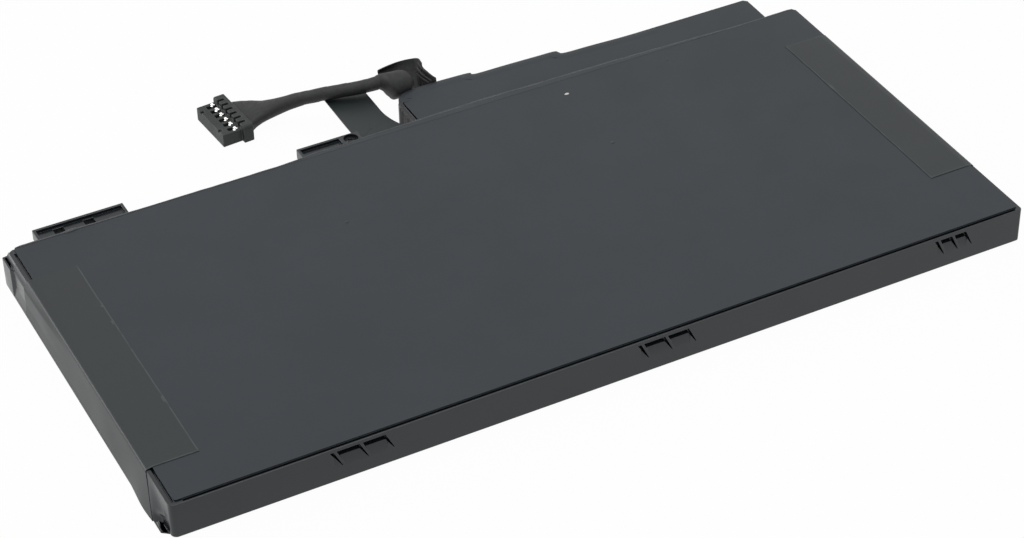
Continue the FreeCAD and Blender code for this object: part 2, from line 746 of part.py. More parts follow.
def make_electronics():
    """Make the flex, the insulation over the tabs, the board and what it carries."""
    flex = new_body("interconnect_flex")
    margin = "end_wall + flex_margin"
    strip = rectangle(flex, "flex_outline", at_left(margin), "%s + flex_margin" % SHELF_FRONT,
                      at_left("slab_length - (%s)" % margin),
                      "slab_width - rear_wall - flex_margin", level=SHELF_TOP)
    pad(flex, "flex_strip", strip, "flex_thick")
    tongue = rectangle(flex, "tongue_outline", at_left(TONGUE_START),
                       "slab_width - rear_wall - shelf_depth / 2",
                       at_left("%s + tongue_width" % TONGUE_START), "slab_width + tongue_reach",
                       level=SHELF_TOP)
    tongue_pad = pad(flex, "flex_tongue", tongue, "flex_thick")
    row_of(flex, "flex_tongues", tongue_pad, TONGUE_PITCH, FLEX_TONGUES)

    block("tab_insulation", at_left(margin), "%s + flex_margin" % SHELF_FRONT,
          "%s + cell_tab_thick" % TAB_FLOOR, "slab_length - 2 * (%s)" % margin,
          "shelf_depth - 2 * flex_margin", "insulation_thick")

    start = "(%s + board_start)" % BAY_LEFT
    end = "(%s - bay_wall - bay_chamfer)" % BAY_RIGHT
    front = "(slab_width + board_gap)"
    depth = "bay_depth_right - bay_wall - 2 * board_gap"
    block("circuit_board", at_left(start), front, "%s - board_thick" % SHELF_TOP,
          "%s - %s" % (end, start), depth, "board_thick")
    chips = {
        "charge_switch": (0.083, "3.2", "5.0", "4.0", "1.0"),
        "discharge_switch": (0.156, "3.2", "5.0", "4.0", "1.0"),
        "sense_resistor": (0.348, "3.6", "6.4", "3.2", "0.6"),
        "controller_chip": (0.525, "3.2", "5.0", "5.0", "0.9"),
        "safety_fuse": (0.639, "3.6", "4.0", "3.0", "1.0"),
        "filter_capacitor": (0.811, "3.6", "3.2", "1.6", "1.2"),
        "thermistor": (0.873, "3.6", "1.6", "0.8", "0.6"),
    }
    for name, (share, across, length, width, height) in chips.items():
        along = "%s + %s * (%s - %s)" % (start, share, end, start)
        block(name, at_left(along), "%s + %s" % (front, across), SHELF_TOP, length, width,
              height)


def make_end_tapes():
    """Fold the two tapes over the ends of the slab.

    The left one leans out from the rim to the flange, the right one drops straight down.
    """
    left = new_body("end_tape_left")
    inner = [
        (at_left("left_tape_width"), "slab_height"),
        (at_left("end_lip + end_groove"), "slab_height"),
        (at_left("-tape_gap"), "%s + tape_gap" % RIM_TOP),
        ("2 * tape_film", "flange_thick + tape_gap"),
    ]
    outer = [
        ("tape_film", "flange_thick + tape_gap"),
        (at_left("-tape_gap - tape_film"), "%s + tape_gap + tape_film" % RIM_TOP),
        (at_left("end_lip + end_groove"), "slab_height + tape_film"),
        (at_left("left_tape_width"), "slab_height + tape_film"),
    ]
    profile = outline(left, "left_tape_profile", inner + outer, role="XZ_Plane",
                      level="-left_tape_start")
    pad(left, "left_tape_fold", profile, "slab_width - left_tape_start - left_tape_inset",
        flip=True)

    right = new_body("end_tape_right")
    rim = at_left("slab_length - right_lip")
    wall = at_left("slab_length + tape_gap")
    edge = at_left("slab_length - right_tape_width")
    profile = outline(right, "right_tape_profile", [
        (edge, "slab_height"),
        (rim, "slab_height"),
        (wall, "%s + tape_gap" % RIM_TOP),
        (wall, "right_tape_bottom"),
        ("%s + tape_film" % wall, "right_tape_bottom"),
        ("%s + tape_film" % wall, "%s + tape_gap + tape_film" % RIM_TOP),
        (rim, "slab_height + tape_film"),
        (edge, "slab_height + tape_film"),
    ], role="XZ_Plane", level="-right_tape_start")
    pad(right, "right_tape_fold", profile, "slab_width - right_tape_start - right_tape_inset",
        flip=True)


def make_pull_tab():
    """Cut the pull tab: a narrow root beside the boss, then a long strap with a flare."""
    body = new_body("pull_tab")
    root_left = at_left("%s + boss_length + strap_gap" % BOSS)
    root_right = at_left("%s + boss_length + strap_gap + strap_root_width" % BOSS)
    behind_ear = "slab_width + ear_depth + strap_gap"
    left = at_left(STRAP_LEFT)
    right = at_left("%s + strap_width" % STRAP_LEFT)
    rear = "slab_width + strap_reach"
    flare = "slab_width + strap_flare_start"
    shape = outline(body, "strap_outline", [
        (root_left, "slab_width + strap_gap"),
        (root_right, "slab_width + strap_gap"),
        (root_right, flare),
        (right, flare),
        (right, rear),
        (left, rear),
        (left, behind_ear),
        (root_left, behind_ear),
    ], level="ear_floor")
    strap = pad(body, "strap", shape, "strap_thick")
    rear_value = size("slab_width") + size("strap_reach")

    def at_rear(edge):
        return upright(edge) and abs(edge.Vertexes[0].Y - rear_value) < 0.01

    round_edges(body, "strap_corners", strap, at_rear, "strap_corner")
    curve = disc(body, "flare_circle", "%s + strap_flare" % right, flare, "strap_flare",
                 level="ear_floor + strap_thick")
    pocket(body, "flare", curve, "strap_thick")


def make_lead_wires():
    """Lay the wires from the board's edge up through the notch to the wrap."""
    first = "%s + wire_pitch / 2 + wire_size / 2" % WIRE_NOTCH
    start = "(slab_width + bay_depth_right - bay_wall - board_gap - wire_on_board)"
    floor = "(%s + wire_size / 2 + seat_gap)" % SHELF_TOP
    run = "(slab_width + wrap_reach - 2 * seat_gap - %s)" % start
    rise = "(wrap_bottom + wrap_round - %s)" % floor
    length = "sqrt(%s ^ 2 + %s ^ 2)" % (run, rise)
    for number in range(1, WIRE_COUNT + 1):
        wire = doc.addObject("Part::Cylinder", "lead_wire_%d" % number)
        wire.setExpression("Radius", bind("wire_size / 2"))
        wire.setExpression("Height", bind(length))
        wire.Placement.Rotation = FreeCAD.Rotation(Vector(-1, 0, 0), 70)
        wire.setExpression(".Placement.Rotation.Angle", bind("acos(%s / %s)" % (rise, length)))
        move_to_origin(wire, at_left("%s + wire_pitch * %d" % (first, number - 1)), start, floor)
        parts.append(wire)


def make_cable_wrap():
    """Make the plain outer shape of the tape that is wound round the lead's bend."""
    body = new_body("cable_wrap")
    base = rectangle(body, "wrap_outline", at_left(BAY_LEFT), "slab_width + wrap_reach",
                     at_left("%s + wrap_length" % BAY_LEFT),
                     "slab_width + wrap_reach + wrap_depth", level="wrap_bottom")
    lump = pad(body, "wrap_lump", base, "wrap_top - wrap_bottom")
    rolled = round_edges(body, "wrap_rolled", lump,
                         lambda edge: runs_along(edge, Vector(1, 0, 0)), "wrap_round")
    doc.recompute()
    ends = ["Face%d" % number for number, face in enumerate(rolled.Shape.Faces, start=1)
            if abs(face.normalAt(0, 0).x) > 0.999]
    bevel = body.newObject("PartDesign::Chamfer", "wrap_ends")
    bevel.Base = (rolled, ends)
    bevel.setExpression("Size", bind("wrap_edge"))


def set_feature(label, shape):
    """Store a shape as a sub-part and bring it into the shared frame."""
    item = doc.addObject("Part::Feature", label)
    item.Shape = shape
    move_to_origin(item)
    parts.append(item)
    return item


def lead_path(points):
    """Join straight runs by tangent arcs and report each arc's radius.

    Each arc is as large as its two runs allow: it uses 0.45 of the shorter one.
    """
    edges = []
    last = points[0]
    for before, corner, after in zip(points, points[1:], points[2:]):
        back = (before - corner).normalize()
        ahead = (after - corner).normalize()
        half_turn = (math.pi - back.getAngle(ahead)) / 2
        reach = 0.45 * min((before - corner).Length, (after - corner).Length)
        radius = reach / math.tan(half_turn)
        print("lead bend radius %.1f mm" % radius)
        start = corner + back * reach
        end = corner + ahead * reach
        middle_way = (back + ahead).normalize()
        top = corner + middle_way * (radius / math.cos(half_turn) - radius)
        edges.append(Part.LineSegment(last, start).toShape())
        edges.append(Part.Arc(start, top, end).toShape())
        last = end
    edges.append(Part.LineSegment(last, points[-1]).toShape())
    return Part.Wire(edges)


def lead_point(x, y, z):
    """Turn a place beside the wrap's left face and behind the slab into body coordinates."""
    wrap_left = size("end_flange") + size("slab_length") / 2 - size("bay_shift")
    return Vector(wrap_left + x, size("slab_width") + y, z)


def plug_point(along, across, height):
    """Turn a place in the plug's own frame into body coordinates."""
    turn = math.radians(size("plug_turn"))
    x = along * math.cos(turn) - across * math.sin(turn)
    y = along * math.sin(turn) + across * math.cos(turn)
    return lead_point(x - size("plug_back"), y + size("plug_reach"), height)


def cross_section(centre, ahead, width, height):
    """Stand an oval outline across the lead's way, with its width level."""
    if width > height:
        curve = Part.Ellipse(Vector(0, 0, 0), width / 2, height / 2)
    else:
        curve = Part.Circle(Vector(0, 0, 0), Vector(0, 0, 1), width / 2)
    outline_wire = Part.Wire(curve.toShape())
    level = Vector(0, 0, 1).cross(ahead)
    turn = FreeCAD.Rotation(level, ahead.cross(level), ahead, "ZXY")
    outline_wire.Placement = FreeCAD.Placement(centre, turn)
    return outline_wire


def make_lead():
    """Sweep the lead from the wrap to the fan, then spread it out to the plug."""
    points = [lead_point(*place) for place in LEAD_ROUTE]
    path = lead_path(points)
    thick = size("lead_size")
    first_way = (points[1] - points[0]).normalize()
    tube = path.makePipeShell([cross_section(points[0], first_way, thick, thick)], True, True)
    expected = math.pi * thick ** 2 / 4 * path.Length
    print("lead length %.1f mm, volume ratio %.4f" % (path.Length, tube.Volume / expected))
    set_feature("cable", tube)

    mouth = plug_point(size("plug_depth") + size("hood_depth"), 0, size("fan_height") / 2)
    plug_way = (plug_point(0, 0, 0) - plug_point(1, 0, 0)).normalize()
    last_way = (points[-1] - points[-2]).normalize()
    waist = lead_point(*FAN_WAIST)
    fan = Part.makeLoft([
        cross_section(points[-1], last_way, thick, thick),
        cross_section(waist, (mouth - points[-1]).normalize(), size("fan_waist"),
                      size("fan_waist_height")),
        cross_section(mouth, plug_way, size("fan_width"), size("fan_height")),
    ], True, True)
    set_feature("cable_fanout", fan)


def new_plug_body(label):
    """Start a sub-part that is drawn in the plug's own frame, with X along the lead."""
    body = doc.addObject("PartDesign::Body", label)
    body.Placement.Rotation = FreeCAD.Rotation(Vector(0, 0, 1), size("plug_turn"))
    body.setExpression(".Placement.Rotation.Angle", bind("plug_turn"))
    move_to_origin(body, at_left("%s - plug_back" % BAY_LEFT), "slab_width + plug_reach")
    parts.append(body)
    return body


def make_plug():
    """Mould the plug's housing and set one contact into each of its slots."""
    housing = new_plug_body("connector_housing")
    half = "plug_width / 2"
    base = rectangle(housing, "plug_outline", "0", "-%s" % half, "plug_depth + hood_depth / 2",
                     half)
    pad(housing, "plug_block", base, "plug_height")
    hood = rectangle(housing, "hood_outline", "plug_depth", "-hood_width / 2",
                     "plug_depth + hood_depth", "hood_width / 2")
    hood_pad = pad(housing, "hood", hood, "hood_height")

    def hood_edge(edge):
        high = min(vertex.Z for vertex in edge.Vertexes) > size("hood_height") - 0.01
        outside = min(abs(vertex.Y) for vertex in edge.Vertexes) > size("hood_width") / 2 - 0.01
        return high and outside and runs_along(edge, Vector(1, 0, 0))

    round_edges(housing, "hood_round_ends", hood_pad, hood_edge, "hood_round")

    first = "-contact_pitch * %s / 2" % (WIRE_COUNT - 1)
    slot_end = "contact_slot_start + contact_slot_length"
    slot = rectangle(housing, "contact_slot_outline", "contact_slot_start",
                     "%s - contact_slot / 2" % first, slot_end, "%s + contact_slot / 2" % first,
                     level="plug_height")
    slot_cut = pocket(housing, "contact_slot_cut", slot, "contact_slot_depth")
    row_of(housing, "contact_slots", slot_cut, "contact_pitch", WIRE_COUNT, axis="V_Axis")
    window = rectangle(housing, "hood_slot_outline", "plug_depth", "%s - hood_slot / 2" % first,
                       "plug_depth + hood_slot_length", "%s + hood_slot / 2" % first,
                       level="hood_height")
    window_cut = pocket(housing, "hood_slot_cut", window, "hood_slot_depth")
    row_of(housing, "hood_slots", window_cut, "contact_pitch", WIRE_COUNT, axis="V_Axis")
    key = rectangle(housing, "key_notch_outline", "0", "-%s + key_notch_inset" % half,
                    "key_notch", "-%s + key_notch_inset + key_notch" % half,
                    level="plug_height")
    key_cut = pocket(housing, "key_notch_cut", key, "key_notch_depth")
    row_of(housing, "key_notches", key_cut, "plug_width - 2 * key_notch_inset - key_notch", 2,
           axis="V_Axis")

    for number in range(1, WIRE_COUNT + 1):
        make_contact(number, "%s + contact_pitch * %d" % (first, number - 1))


def make_contact(number, middle):
    """Stand one fork contact on the floor of its slot, open to the front and the top."""
    contact = new_plug_body("contact_%d" % number)
    left = "%s - contact_width / 2" % middle
    right = "%s + contact_width / 2" % middle
    floor = "plug_height - contact_slot_depth"
    top = "plug_height - seat_gap"
    profile = outline(contact, "fork_profile", [
        (left, floor),
        (right, floor),
        (right, top),
        ("%s - contact_thick" % right, top),
        ("%s - contact_thick" % right, "%s + contact_thick" % floor),
        ("%s + contact_thick" % left, "%s + contact_thick" % floor),
        ("%s + contact_thick" % left, top),
        (left, top),
    ], role="YZ_Plane", level="contact_slot_start + (contact_slot_length - contact_length) / 2")
    pad(contact, "fork", profile, "contact_length")


def check_and_write():
    """Stop on any failed object or empty cut, then write one file for each sub-part."""
    doc.recompute()
    for item in doc.Objects:
        if "Invalid" in item.State or "Error" in item.State:
            raise RuntimeError("%s is %s" % (item.Name, item.State))
    for cut in cuts:
        if cut.Shape.Volume >= cut.BaseFeature.Shape.Volume - 1e-6:
            raise RuntimeError("%s removes nothing" % cut.Name)
    os.makedirs("parts", exist_ok=True)
    for item in parts:
        if item.Shape.isNull() or not item.Shape.isValid():
            raise RuntimeError("%s has no valid shape" % item.Label)
        item.Shape.exportStep("parts/%s.step" % item.Label)
        print("%-22s %8.1f mm3, %d solid" % (item.Label, item.Shape.Volume,
                                              len(item.Shape.Solids)))


make_frame()
make_covers()
for cell_number in range(1, CELL_COUNT + 1):
    make_cell(cell_number)
make_electronics()
make_end_tapes()
make_pull_tab()
make_lead_wires()
make_cable_wrap()
make_lead()
make_plug()
check_and_write()
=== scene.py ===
"""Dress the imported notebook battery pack: studio, materials and detailed pieces.

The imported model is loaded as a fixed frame. Every piece below is built in metres in that
same frame. Places are written in millimetres from the slab's front-left foot, the same
way in which they were measured, and `at()` turns them into frame coordinates.
"""

import logging
import math
from collections.abc import Callable, Sequence
from dataclasses import dataclass
from enum import Enum

import bmesh
import bpy
from mathutils import Matrix, Vector, noise
from mathutils.bvhtree import BVHTree

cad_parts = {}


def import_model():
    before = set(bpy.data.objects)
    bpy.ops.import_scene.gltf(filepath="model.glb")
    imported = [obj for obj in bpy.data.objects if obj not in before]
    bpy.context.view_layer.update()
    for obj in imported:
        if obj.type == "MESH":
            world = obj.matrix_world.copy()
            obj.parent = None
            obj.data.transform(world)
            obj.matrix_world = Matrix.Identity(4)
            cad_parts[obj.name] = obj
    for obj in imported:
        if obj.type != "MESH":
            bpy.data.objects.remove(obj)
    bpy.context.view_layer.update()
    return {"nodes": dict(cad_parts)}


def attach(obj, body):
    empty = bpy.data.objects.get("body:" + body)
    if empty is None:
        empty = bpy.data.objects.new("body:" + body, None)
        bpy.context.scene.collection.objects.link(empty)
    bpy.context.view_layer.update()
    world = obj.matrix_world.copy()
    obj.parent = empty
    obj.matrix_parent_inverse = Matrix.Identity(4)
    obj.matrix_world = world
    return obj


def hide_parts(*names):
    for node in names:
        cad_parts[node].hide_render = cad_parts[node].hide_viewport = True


logging.basicConfig(level=logging.INFO, format="%(message)s")
LOG = logging.getLogger("battery_pack")

MM = 0.001
SLAB_FOOT = Vector((-117.22, -69.15, 0.0))
COVER_TOP = 10.5
SIX = range(1, 7)
BODY = "root"
UP = Vector((0, 0, 1))
WHITE = (1.0, 1.0, 1.0, 1.0)

Pair = tuple[float, float]
Point = tuple[float, float, float]
Pairs = tuple[Pair, ...]
Points = tuple[Point, ...]
Stations = tuple[tuple[float, ...], ...]
Grid = list[list[Vector]]
Item = bpy.types.Object
Work = bmesh.types.BMesh
Tree = bpy.types.NodeTree
Socket = bpy.types.NodeSocket


def at(u: float, v: float, w: float) -> Vector:
    """Turn millimetres rightwards, rearwards and up from the slab's foot into metres."""
    return (Vector((u, v, w)) + SLAB_FOOT) * MM


def ease(value: float) -> float:
    """Return a smooth step of a value that runs from 0 to 1."""
    value = min(max(value, 0.0), 1.0)
    return value * value * (3.0 - 2.0 * value)


def bell(value: float, middle: float, width: float) -> float:
    """Return a soft hump: 1 at its middle, and less the farther a value is from it."""
    return math.exp(-((value - middle) / width) ** 2)


def ripple(place: Vector, reach: float, seed: float = 0.0) -> float:
    """Return soft noise from about -1 to 1, whose ripples are `reach` millimetres long."""
    return noise.noise(place / (reach * MM) + Vector((seed, 1.7 * seed, -seed)))


def step_at(line: Sequence[Vector], index: int) -> Vector:
    """Return the step from the point before one of a line's points to the one after."""
    return line[min(index + 1, len(line) - 1)] - line[max(index - 1, 0)]


def cross_at(line: Sequence[Vector], index: int) -> tuple[Vector, Vector]:
    """Return the level and the upright direction across a line at one of its points."""
    ahead = step_at(line, index).normalized()
    side = UP.cross(ahead).normalized()
    return side, ahead.cross(side)


# --- Node trees ---


class NodeSheet:
    """A thin layer over a node tree: it adds nodes and links them in one call."""

    def __init__(self, tree: Tree) -> None:
        """Keep the tree."""
        self.tree = tree

    @classmethod
    def blank(cls, owner: bpy.types.ID) -> "NodeSheet":
        """Switch on the nodes of a material or a world, and clear them."""
        owner.use_nodes = True
        owner.node_tree.nodes.clear()
        return cls(owner.node_tree)

    def add(self, kind: str, settings: dict | None = None, **sockets) -> bpy.types.Node:
        """Add a node.

        Args:
            kind: The node's type name.
            settings: Properties of the node itself.
            **sockets: Input values or output sockets to link, by the input's name with
                spaces written as underscores, or `i0`, `i1` for an input by its number.

        Returns:
            The new node.
        """
        node = self.tree.nodes.new(kind)
        for name, value in (settings or {}).items():
            setattr(node, name, value)
        for name, value in sockets.items():
            if name[0] == "i" and name[1:].isdigit():
                socket = node.inputs[int(name[1:])]
            else:
                socket = node.inputs[name.replace("_", " ")]
            if isinstance(value, Socket):
                self.tree.links.new(value, socket)
            else:
                socket.default_value = value
        return node

    def math(self, operation: str, first, second=0.0, third=0.0) -> Socket:
        """Add a Math node and return its result."""
        return self.add("ShaderNodeMath", {"operation": operation}, i0=first, i1=second,
                        i2=third).outputs[0]

    def vector(self, operation: str, first, output: str, **sockets) -> Socket:
        """Add a Vector Math node and return one of its outputs."""
        return self.add("ShaderNodeVectorMath", {"operation": operation}, i0=first,
                        **sockets).outputs[output]

    def mix(self, factor, first, second) -> Socket:
        """Add a colour Mix node and return its result."""
        return self.add("ShaderNodeMix", {"data_type": "RGBA"}, i0=factor, i6=first,
                        i7=second).outputs[2]

    def span(self, value, low: float, high: float, to_low: float, to_high: float) -> Socket:
        """Map a value from one range to another, without running past its ends."""
        return self.add("ShaderNodeMapRange", {"clamp": True}, Value=value, From_Min=low,
                        From_Max=high, To_Min=to_low, To_Max=to_high).outputs[0]

    def noise(self, vector, scale: float, detail: float = 2.0, rough: float = 0.5) -> Socket:
        """Add a Noise Texture node and return its factor."""
        return self.add("ShaderNodeTexNoise", Vector=vector, Scale=scale, Detail=detail,
                        Roughness=rough).outputs["Fac"]


def shader_group(name: str, inputs: Sequence[tuple[str, str, float | None]],
                 outputs: Sequence[str],
                 fill: Callable[..., Sequence[Socket]]) -> Tree:
    """Build a shader node group with named sockets.

    Args:
        name: The group's name.
        inputs: Name, kind and default of each input.
        outputs: The name of each output, which is a number.
        fill: Takes the group's sheet and its input sockets, and returns the results.

    Returns:
        The new group.
    """
    tree = bpy.data.node_groups.new(name, "ShaderNodeTree")
    for label, kind, default in inputs:
        socket = tree.interface.new_socket(label, in_out="INPUT",
                                           socket_type="NodeSocket" + kind)
        if default is not None:
            socket.default_value = default
    for label in outputs:
        tree.interface.new_socket(label, in_out="OUTPUT", socket_type="NodeSocketFloat")
    sheet = NodeSheet(tree)
    given = sheet.add("NodeGroupInput").outputs
    results = fill(sheet, *(given[label] for label, _, _ in inputs))
    sheet.add("NodeGroupOutput", **dict(zip(outputs, results)))
    return tree


# --- Finishes ---


class Texture(Enum):
    """What the surface of a finish is like close up. The values name its node groups."""

    MOULDED = "Moulded_grain"
    FILM = "Satin_film"
    CLOTH = "Cloth_weave"
    METAL = "Rolled_metal"
    POUCH = "Pouch_foil"


@dataclass(frozen=True)
class Finish:
    """The look of one material slot.

    Args:
        colour: The base colour, linear.
        roughness: The mean roughness.
        texture: What the surface is like close up.
        contrast: How far the colour varies, from 0 to 1.
        relief: The depth of the surface texture in millimetres.
        wear: How much the edges are polished lighter, from 0 to 1.
        metallic: 1 for bare metal.
        coat: The weight of a clear coat.
        gloss: The strength of the plain reflection, 0.5 for an ordinary plastic.
    """

    colour: tuple[float, float, float]
    roughness: float
    texture: Texture = Texture.MOULDED
    contrast: float = 0.12
    relief: float = 0.01
    wear: float = 0.0
    metallic: float = 0.0
    coat: float = 0.0
    gloss: float = 0.5

    def tint(self, factor: float, lift: float = 0.0) -> list[float]:
        """Return the colour made lighter or darker, with its alpha."""
        return [min(1.0, channel * factor + lift) for channel in self.colour] + [1.0]


FINISHES: dict[str, Finish] = {
    "tray_plastic": Finish((0.0075, 0.0110, 0.0140), 0.25, contrast=0.2, relief=0.012,
                           wear=0.5, gloss=0.47),
    "cover_film": Finish((0.0110, 0.0165, 0.0225), 0.44, Texture.FILM, contrast=0.08,
                         relief=0.004, wear=0.35, gloss=0.38),
    "end_tape": Finish((0.0100, 0.0150, 0.0160), 0.40, Texture.FILM, wear=0.9, gloss=0.40),
    "pull_film": Finish((0.011, 0.0165, 0.018), 0.42, Texture.FILM, wear=0.5, gloss=0.36),
    "cell_pouch": Finish((0.62, 0.63, 0.64), 0.42, Texture.POUCH, relief=0.05, metallic=1.0),
    "cell_glue": Finish((0.70, 0.70, 0.67), 0.85, Texture.CLOTH, relief=0.04),
    "aluminium_tab": Finish((0.78, 0.79, 0.80), 0.32, Texture.METAL, metallic=1.0),
    "nickel_tab": Finish((0.60, 0.58, 0.54), 0.30, Texture.METAL, metallic=1.0),
    "flex_film": Finish((0.42, 0.19, 0.05), 0.30, Texture.FILM, coat=0.5),
    "insulation": Finish((0.80, 0.75, 0.58), 0.80, Texture.CLOTH, relief=0.03),
    "board": Finish((0.03, 0.15, 0.075), 0.28, Texture.FILM, contrast=0.2, relief=0.02,
                    coat=0.6),
    "chip": Finish((0.028, 0.028, 0.030), 0.45, contrast=0.2, relief=0.02),
    "ceramic_part": Finish((0.50, 0.41, 0.32), 0.40, contrast=0.1),
    "wire_jacket": Finish((0.030, 0.030, 0.032), 0.38, contrast=0.1, relief=0.004),
    "lead_tape": Finish((0.0165, 0.0170, 0.0180), 0.55, Texture.CLOTH, contrast=0.25,
                        relief=0.03, wear=0.5, gloss=0.36),
    "plug_plastic": Finish((0.034, 0.038, 0.038), 0.5, contrast=0.25, relief=0.02, wear=0.6,
                           gloss=0.25),
    "contact_metal": Finish((0.93, 0.93, 0.91), 0.22, Texture.METAL, contrast=0.05,
                            metallic=1.0),
}


class PaintShop:
    """Makes one procedural material for each finish."""

    def __init__(self) -> None:
        """Build the node groups that the materials share."""
        self._groups = {
            texture: shader_group(
                texture.value, [("Place", "Vector", None)], ("Mask", "Height"),
                lambda sheet, place, kind=texture: self._surface(kind, sheet, place))
            for texture in Texture}
        self._wear = shader_group(
            "Edge_wear", [("Place", "Vector", None), ("Rounded", "Float", 0.0),
                          ("Amount", "Float", 0.5)], ("Mask",), self._edge_wear)
        self._made: dict[str, bpy.types.Material] = {}

    @staticmethod
    def _surface(texture: Texture, sheet: NodeSheet, place: Socket) -> tuple[Socket, Socket]:
        """Shape the surface of one kind of finish.

        Args:
            texture: Which kind it is.
            sheet: The sheet of its group.
            place: The place in millimetres.

        Returns:
            The surface's mask and its height.
        """
        if texture is Texture.MOULDED:
            fine = sheet.noise(place, 3.5, 3.0, 0.6)
            broad = sheet.noise(place, 0.09)
            return (sheet.math("MULTIPLY_ADD", broad, 0.7,
                               sheet.math("MULTIPLY", fine, 0.3)), fine)
        if texture is Texture.FILM:
            fine = sheet.noise(place, 5.0, 2.0, 0.6)
            swell = sheet.noise(place, 0.03, 1.0)
            return (sheet.noise(place, 0.05, 3.0),
                    sheet.math("MULTIPLY_ADD", swell, 4.0, fine))
        if texture is Texture.CLOTH:
            warp, weft = (
                sheet.math("SINE", sheet.math(
                    "MULTIPLY", sheet.vector("DOT_PRODUCT", place, "Value", i1=way), 15.0))
                for way in ((1.0, 1.0, 0.0), (0.0, -0.6, 1.0)))
            weave = sheet.math("MULTIPLY", warp, weft)
            fluff = sheet.noise(place, 1.3, 3.0, 0.6)
            return (sheet.math("MULTIPLY_ADD", weave, 0.15, fluff),
                    sheet.math("MULTIPLY_ADD", weave, 0.4, fluff))
        if texture is Texture.METAL:
            drawn = sheet.vector("MULTIPLY", place, "Vector", i1=(0.6, 14.0, 14.0))
            streak = sheet.noise(drawn, 1.0)
            return streak, streak
        dents = sheet.noise(place, 0.12, 3.0, 0.55)
        cell = sheet.add("ShaderNodeTexVoronoi", {"feature": "SMOOTH_F1"}, Vector=place,
                         Scale=2.2).outputs["Distance"]
        return dents, sheet.math("MULTIPLY_ADD", cell, 0.15, dents)

    @staticmethod
    def _edge_wear(sheet: NodeSheet, place: Socket, rounded: Socket,
                   amount: Socket) -> tuple[Socket]:
        """Make the mask of rubbed edges from the faces that were rounded over."""
        patch = sheet.span(sheet.noise(place, 0.35, 3.0, 0.6), 0.35, 0.65, 0.25, 1.0)
        return (sheet.math("MULTIPLY", sheet.math("MULTIPLY", rounded, patch), amount),)

    def material(self, slot: str) -> bpy.types.Material:
        """Return the material of a slot, and make it when it is first asked for."""
        if slot not in self._made:
            self._made[slot] = self._build(slot, FINISHES[slot])
        return self._made[slot]

    def _build(self, slot: str, finish: Finish) -> bpy.types.Material:
        """Wire one finish to a Principled shader.

        Args:
            slot: The material slot's name.
            finish: Its look.

        Returns:
            The new material.
        """
        material = bpy.data.materials.new(slot)
        sheet = NodeSheet.blank(material)
        coords = sheet.add("ShaderNodeTexCoord").outputs["Object"]
        place = sheet.vector("SCALE", coords, "Vector", Scale=1.0 / MM)
        texture = sheet.add("ShaderNodeGroup", {"node_tree": self._groups[finish.texture]},
                            Place=place)
        mask = sheet.span(texture.outputs["Mask"], 0.3, 0.7, 0.0, 1.0)
        colour = sheet.mix(mask, finish.tint(1.0 - finish.contrast),
                           finish.tint(1.0 + finish.contrast))
        roughness = sheet.span(mask, 0.0, 1.0, finish.roughness * 1.08,
                               finish.roughness * 0.92)
        if finish.wear > 0.0:
            rounded = sheet.add("ShaderNodeAttribute", {"attribute_name": "rounded"})
            worn = sheet.add("ShaderNodeGroup", {"node_tree": self._wear}, Place=place,
                             Rounded=rounded.outputs["Fac"], Amount=finish.wear)
            colour = sheet.mix(worn.outputs["Mask"], colour, finish.tint(2.2, 0.02))
        bump = sheet.add("ShaderNodeBump", Strength=1.0, Distance=finish.relief * MM,
                         Height=texture.outputs["Height"])
        shader = sheet.add("ShaderNodeBsdfPrincipled", Base_Color=colour, Roughness=roughness,
                           Normal=bump.outputs["Normal"], Metallic=finish.metallic,
                           Coat_Weight=finish.coat, Coat_Roughness=0.12,
                           Specular_IOR_Level=finish.gloss)
        sheet.add("ShaderNodeOutputMaterial", Surface=shader.outputs["BSDF"])
        material.diffuse_color = (*finish.colour, 1.0)
        return material


# --- Meshes ---


def place_object(name: str, data: bpy.types.ID) -> Item:
    """Link new data to the scene as an object at the origin."""
    item = bpy.data.objects.new(name, data)
    bpy.context.scene.collection.objects.link(item)
    return item


def finish_mesh(mesh: bpy.types.Mesh, angle: float) -> bpy.types.Mesh:
    """Shade a mesh smooth, but keep edges sharper than an angle in degrees."""
    mesh.shade_smooth()
    mesh.set_sharp_from_angle(angle=math.radians(angle))
    return mesh


def mesh_from(name: str, fill: Callable[[Work], None], angle: float) -> Item:
    """Build a mesh object by filling an empty bmesh.

    Args:
        name: The new object's name.
        fill: Adds the geometry.
        angle: Edges sharper than this, in degrees, stay sharp.

    Returns:
        The new object.
    """
    work = bmesh.new()
    fill(work)
    bmesh.ops.remove_doubles(work, verts=work.verts, dist=1e-7)
    bmesh.ops.recalc_face_normals(work, faces=work.faces)
    mesh = bpy.data.meshes.new(name)
    work.to_mesh(mesh)
    work.free()
    return place_object(name, finish_mesh(mesh, angle))


def grid_of(along: int, across: int, place: Callable[[float, float], Vector]) -> Grid:
    """Return rows of points, for which `place` turns the shares of both ways into one."""
    return [[place(i / along, j / across) for j in range(across + 1)]
            for i in range(along + 1)]


def ring_of(count: int, place: Callable[[float], Vector]) -> list[Vector]:
    """Return the points of a ring, for which `place` turns an angle into a point."""
    return [place(math.tau * step / count) for step in range(count)]


def add_grid(work: Work, rows: Grid, closed: bool = False) -> list[list[bmesh.types.BMVert]]:
    """Add a grid of quads through rows of points.

    Args:
        work: The mesh to add to.
        rows: The points, row by row, all rows of one length.
        closed: Whether each row's last point joins its first.

    Returns:
        The new vertices, row by row.
    """
    made = [[work.verts.new(point) for point in row] for row in rows]
    across = len(rows[0])
    for here, there in zip(made, made[1:]):
        for j in range(across if closed else across - 1):
            k = (j + 1) % across
            work.faces.new((here[j], here[k], there[k], there[j]))
    return made


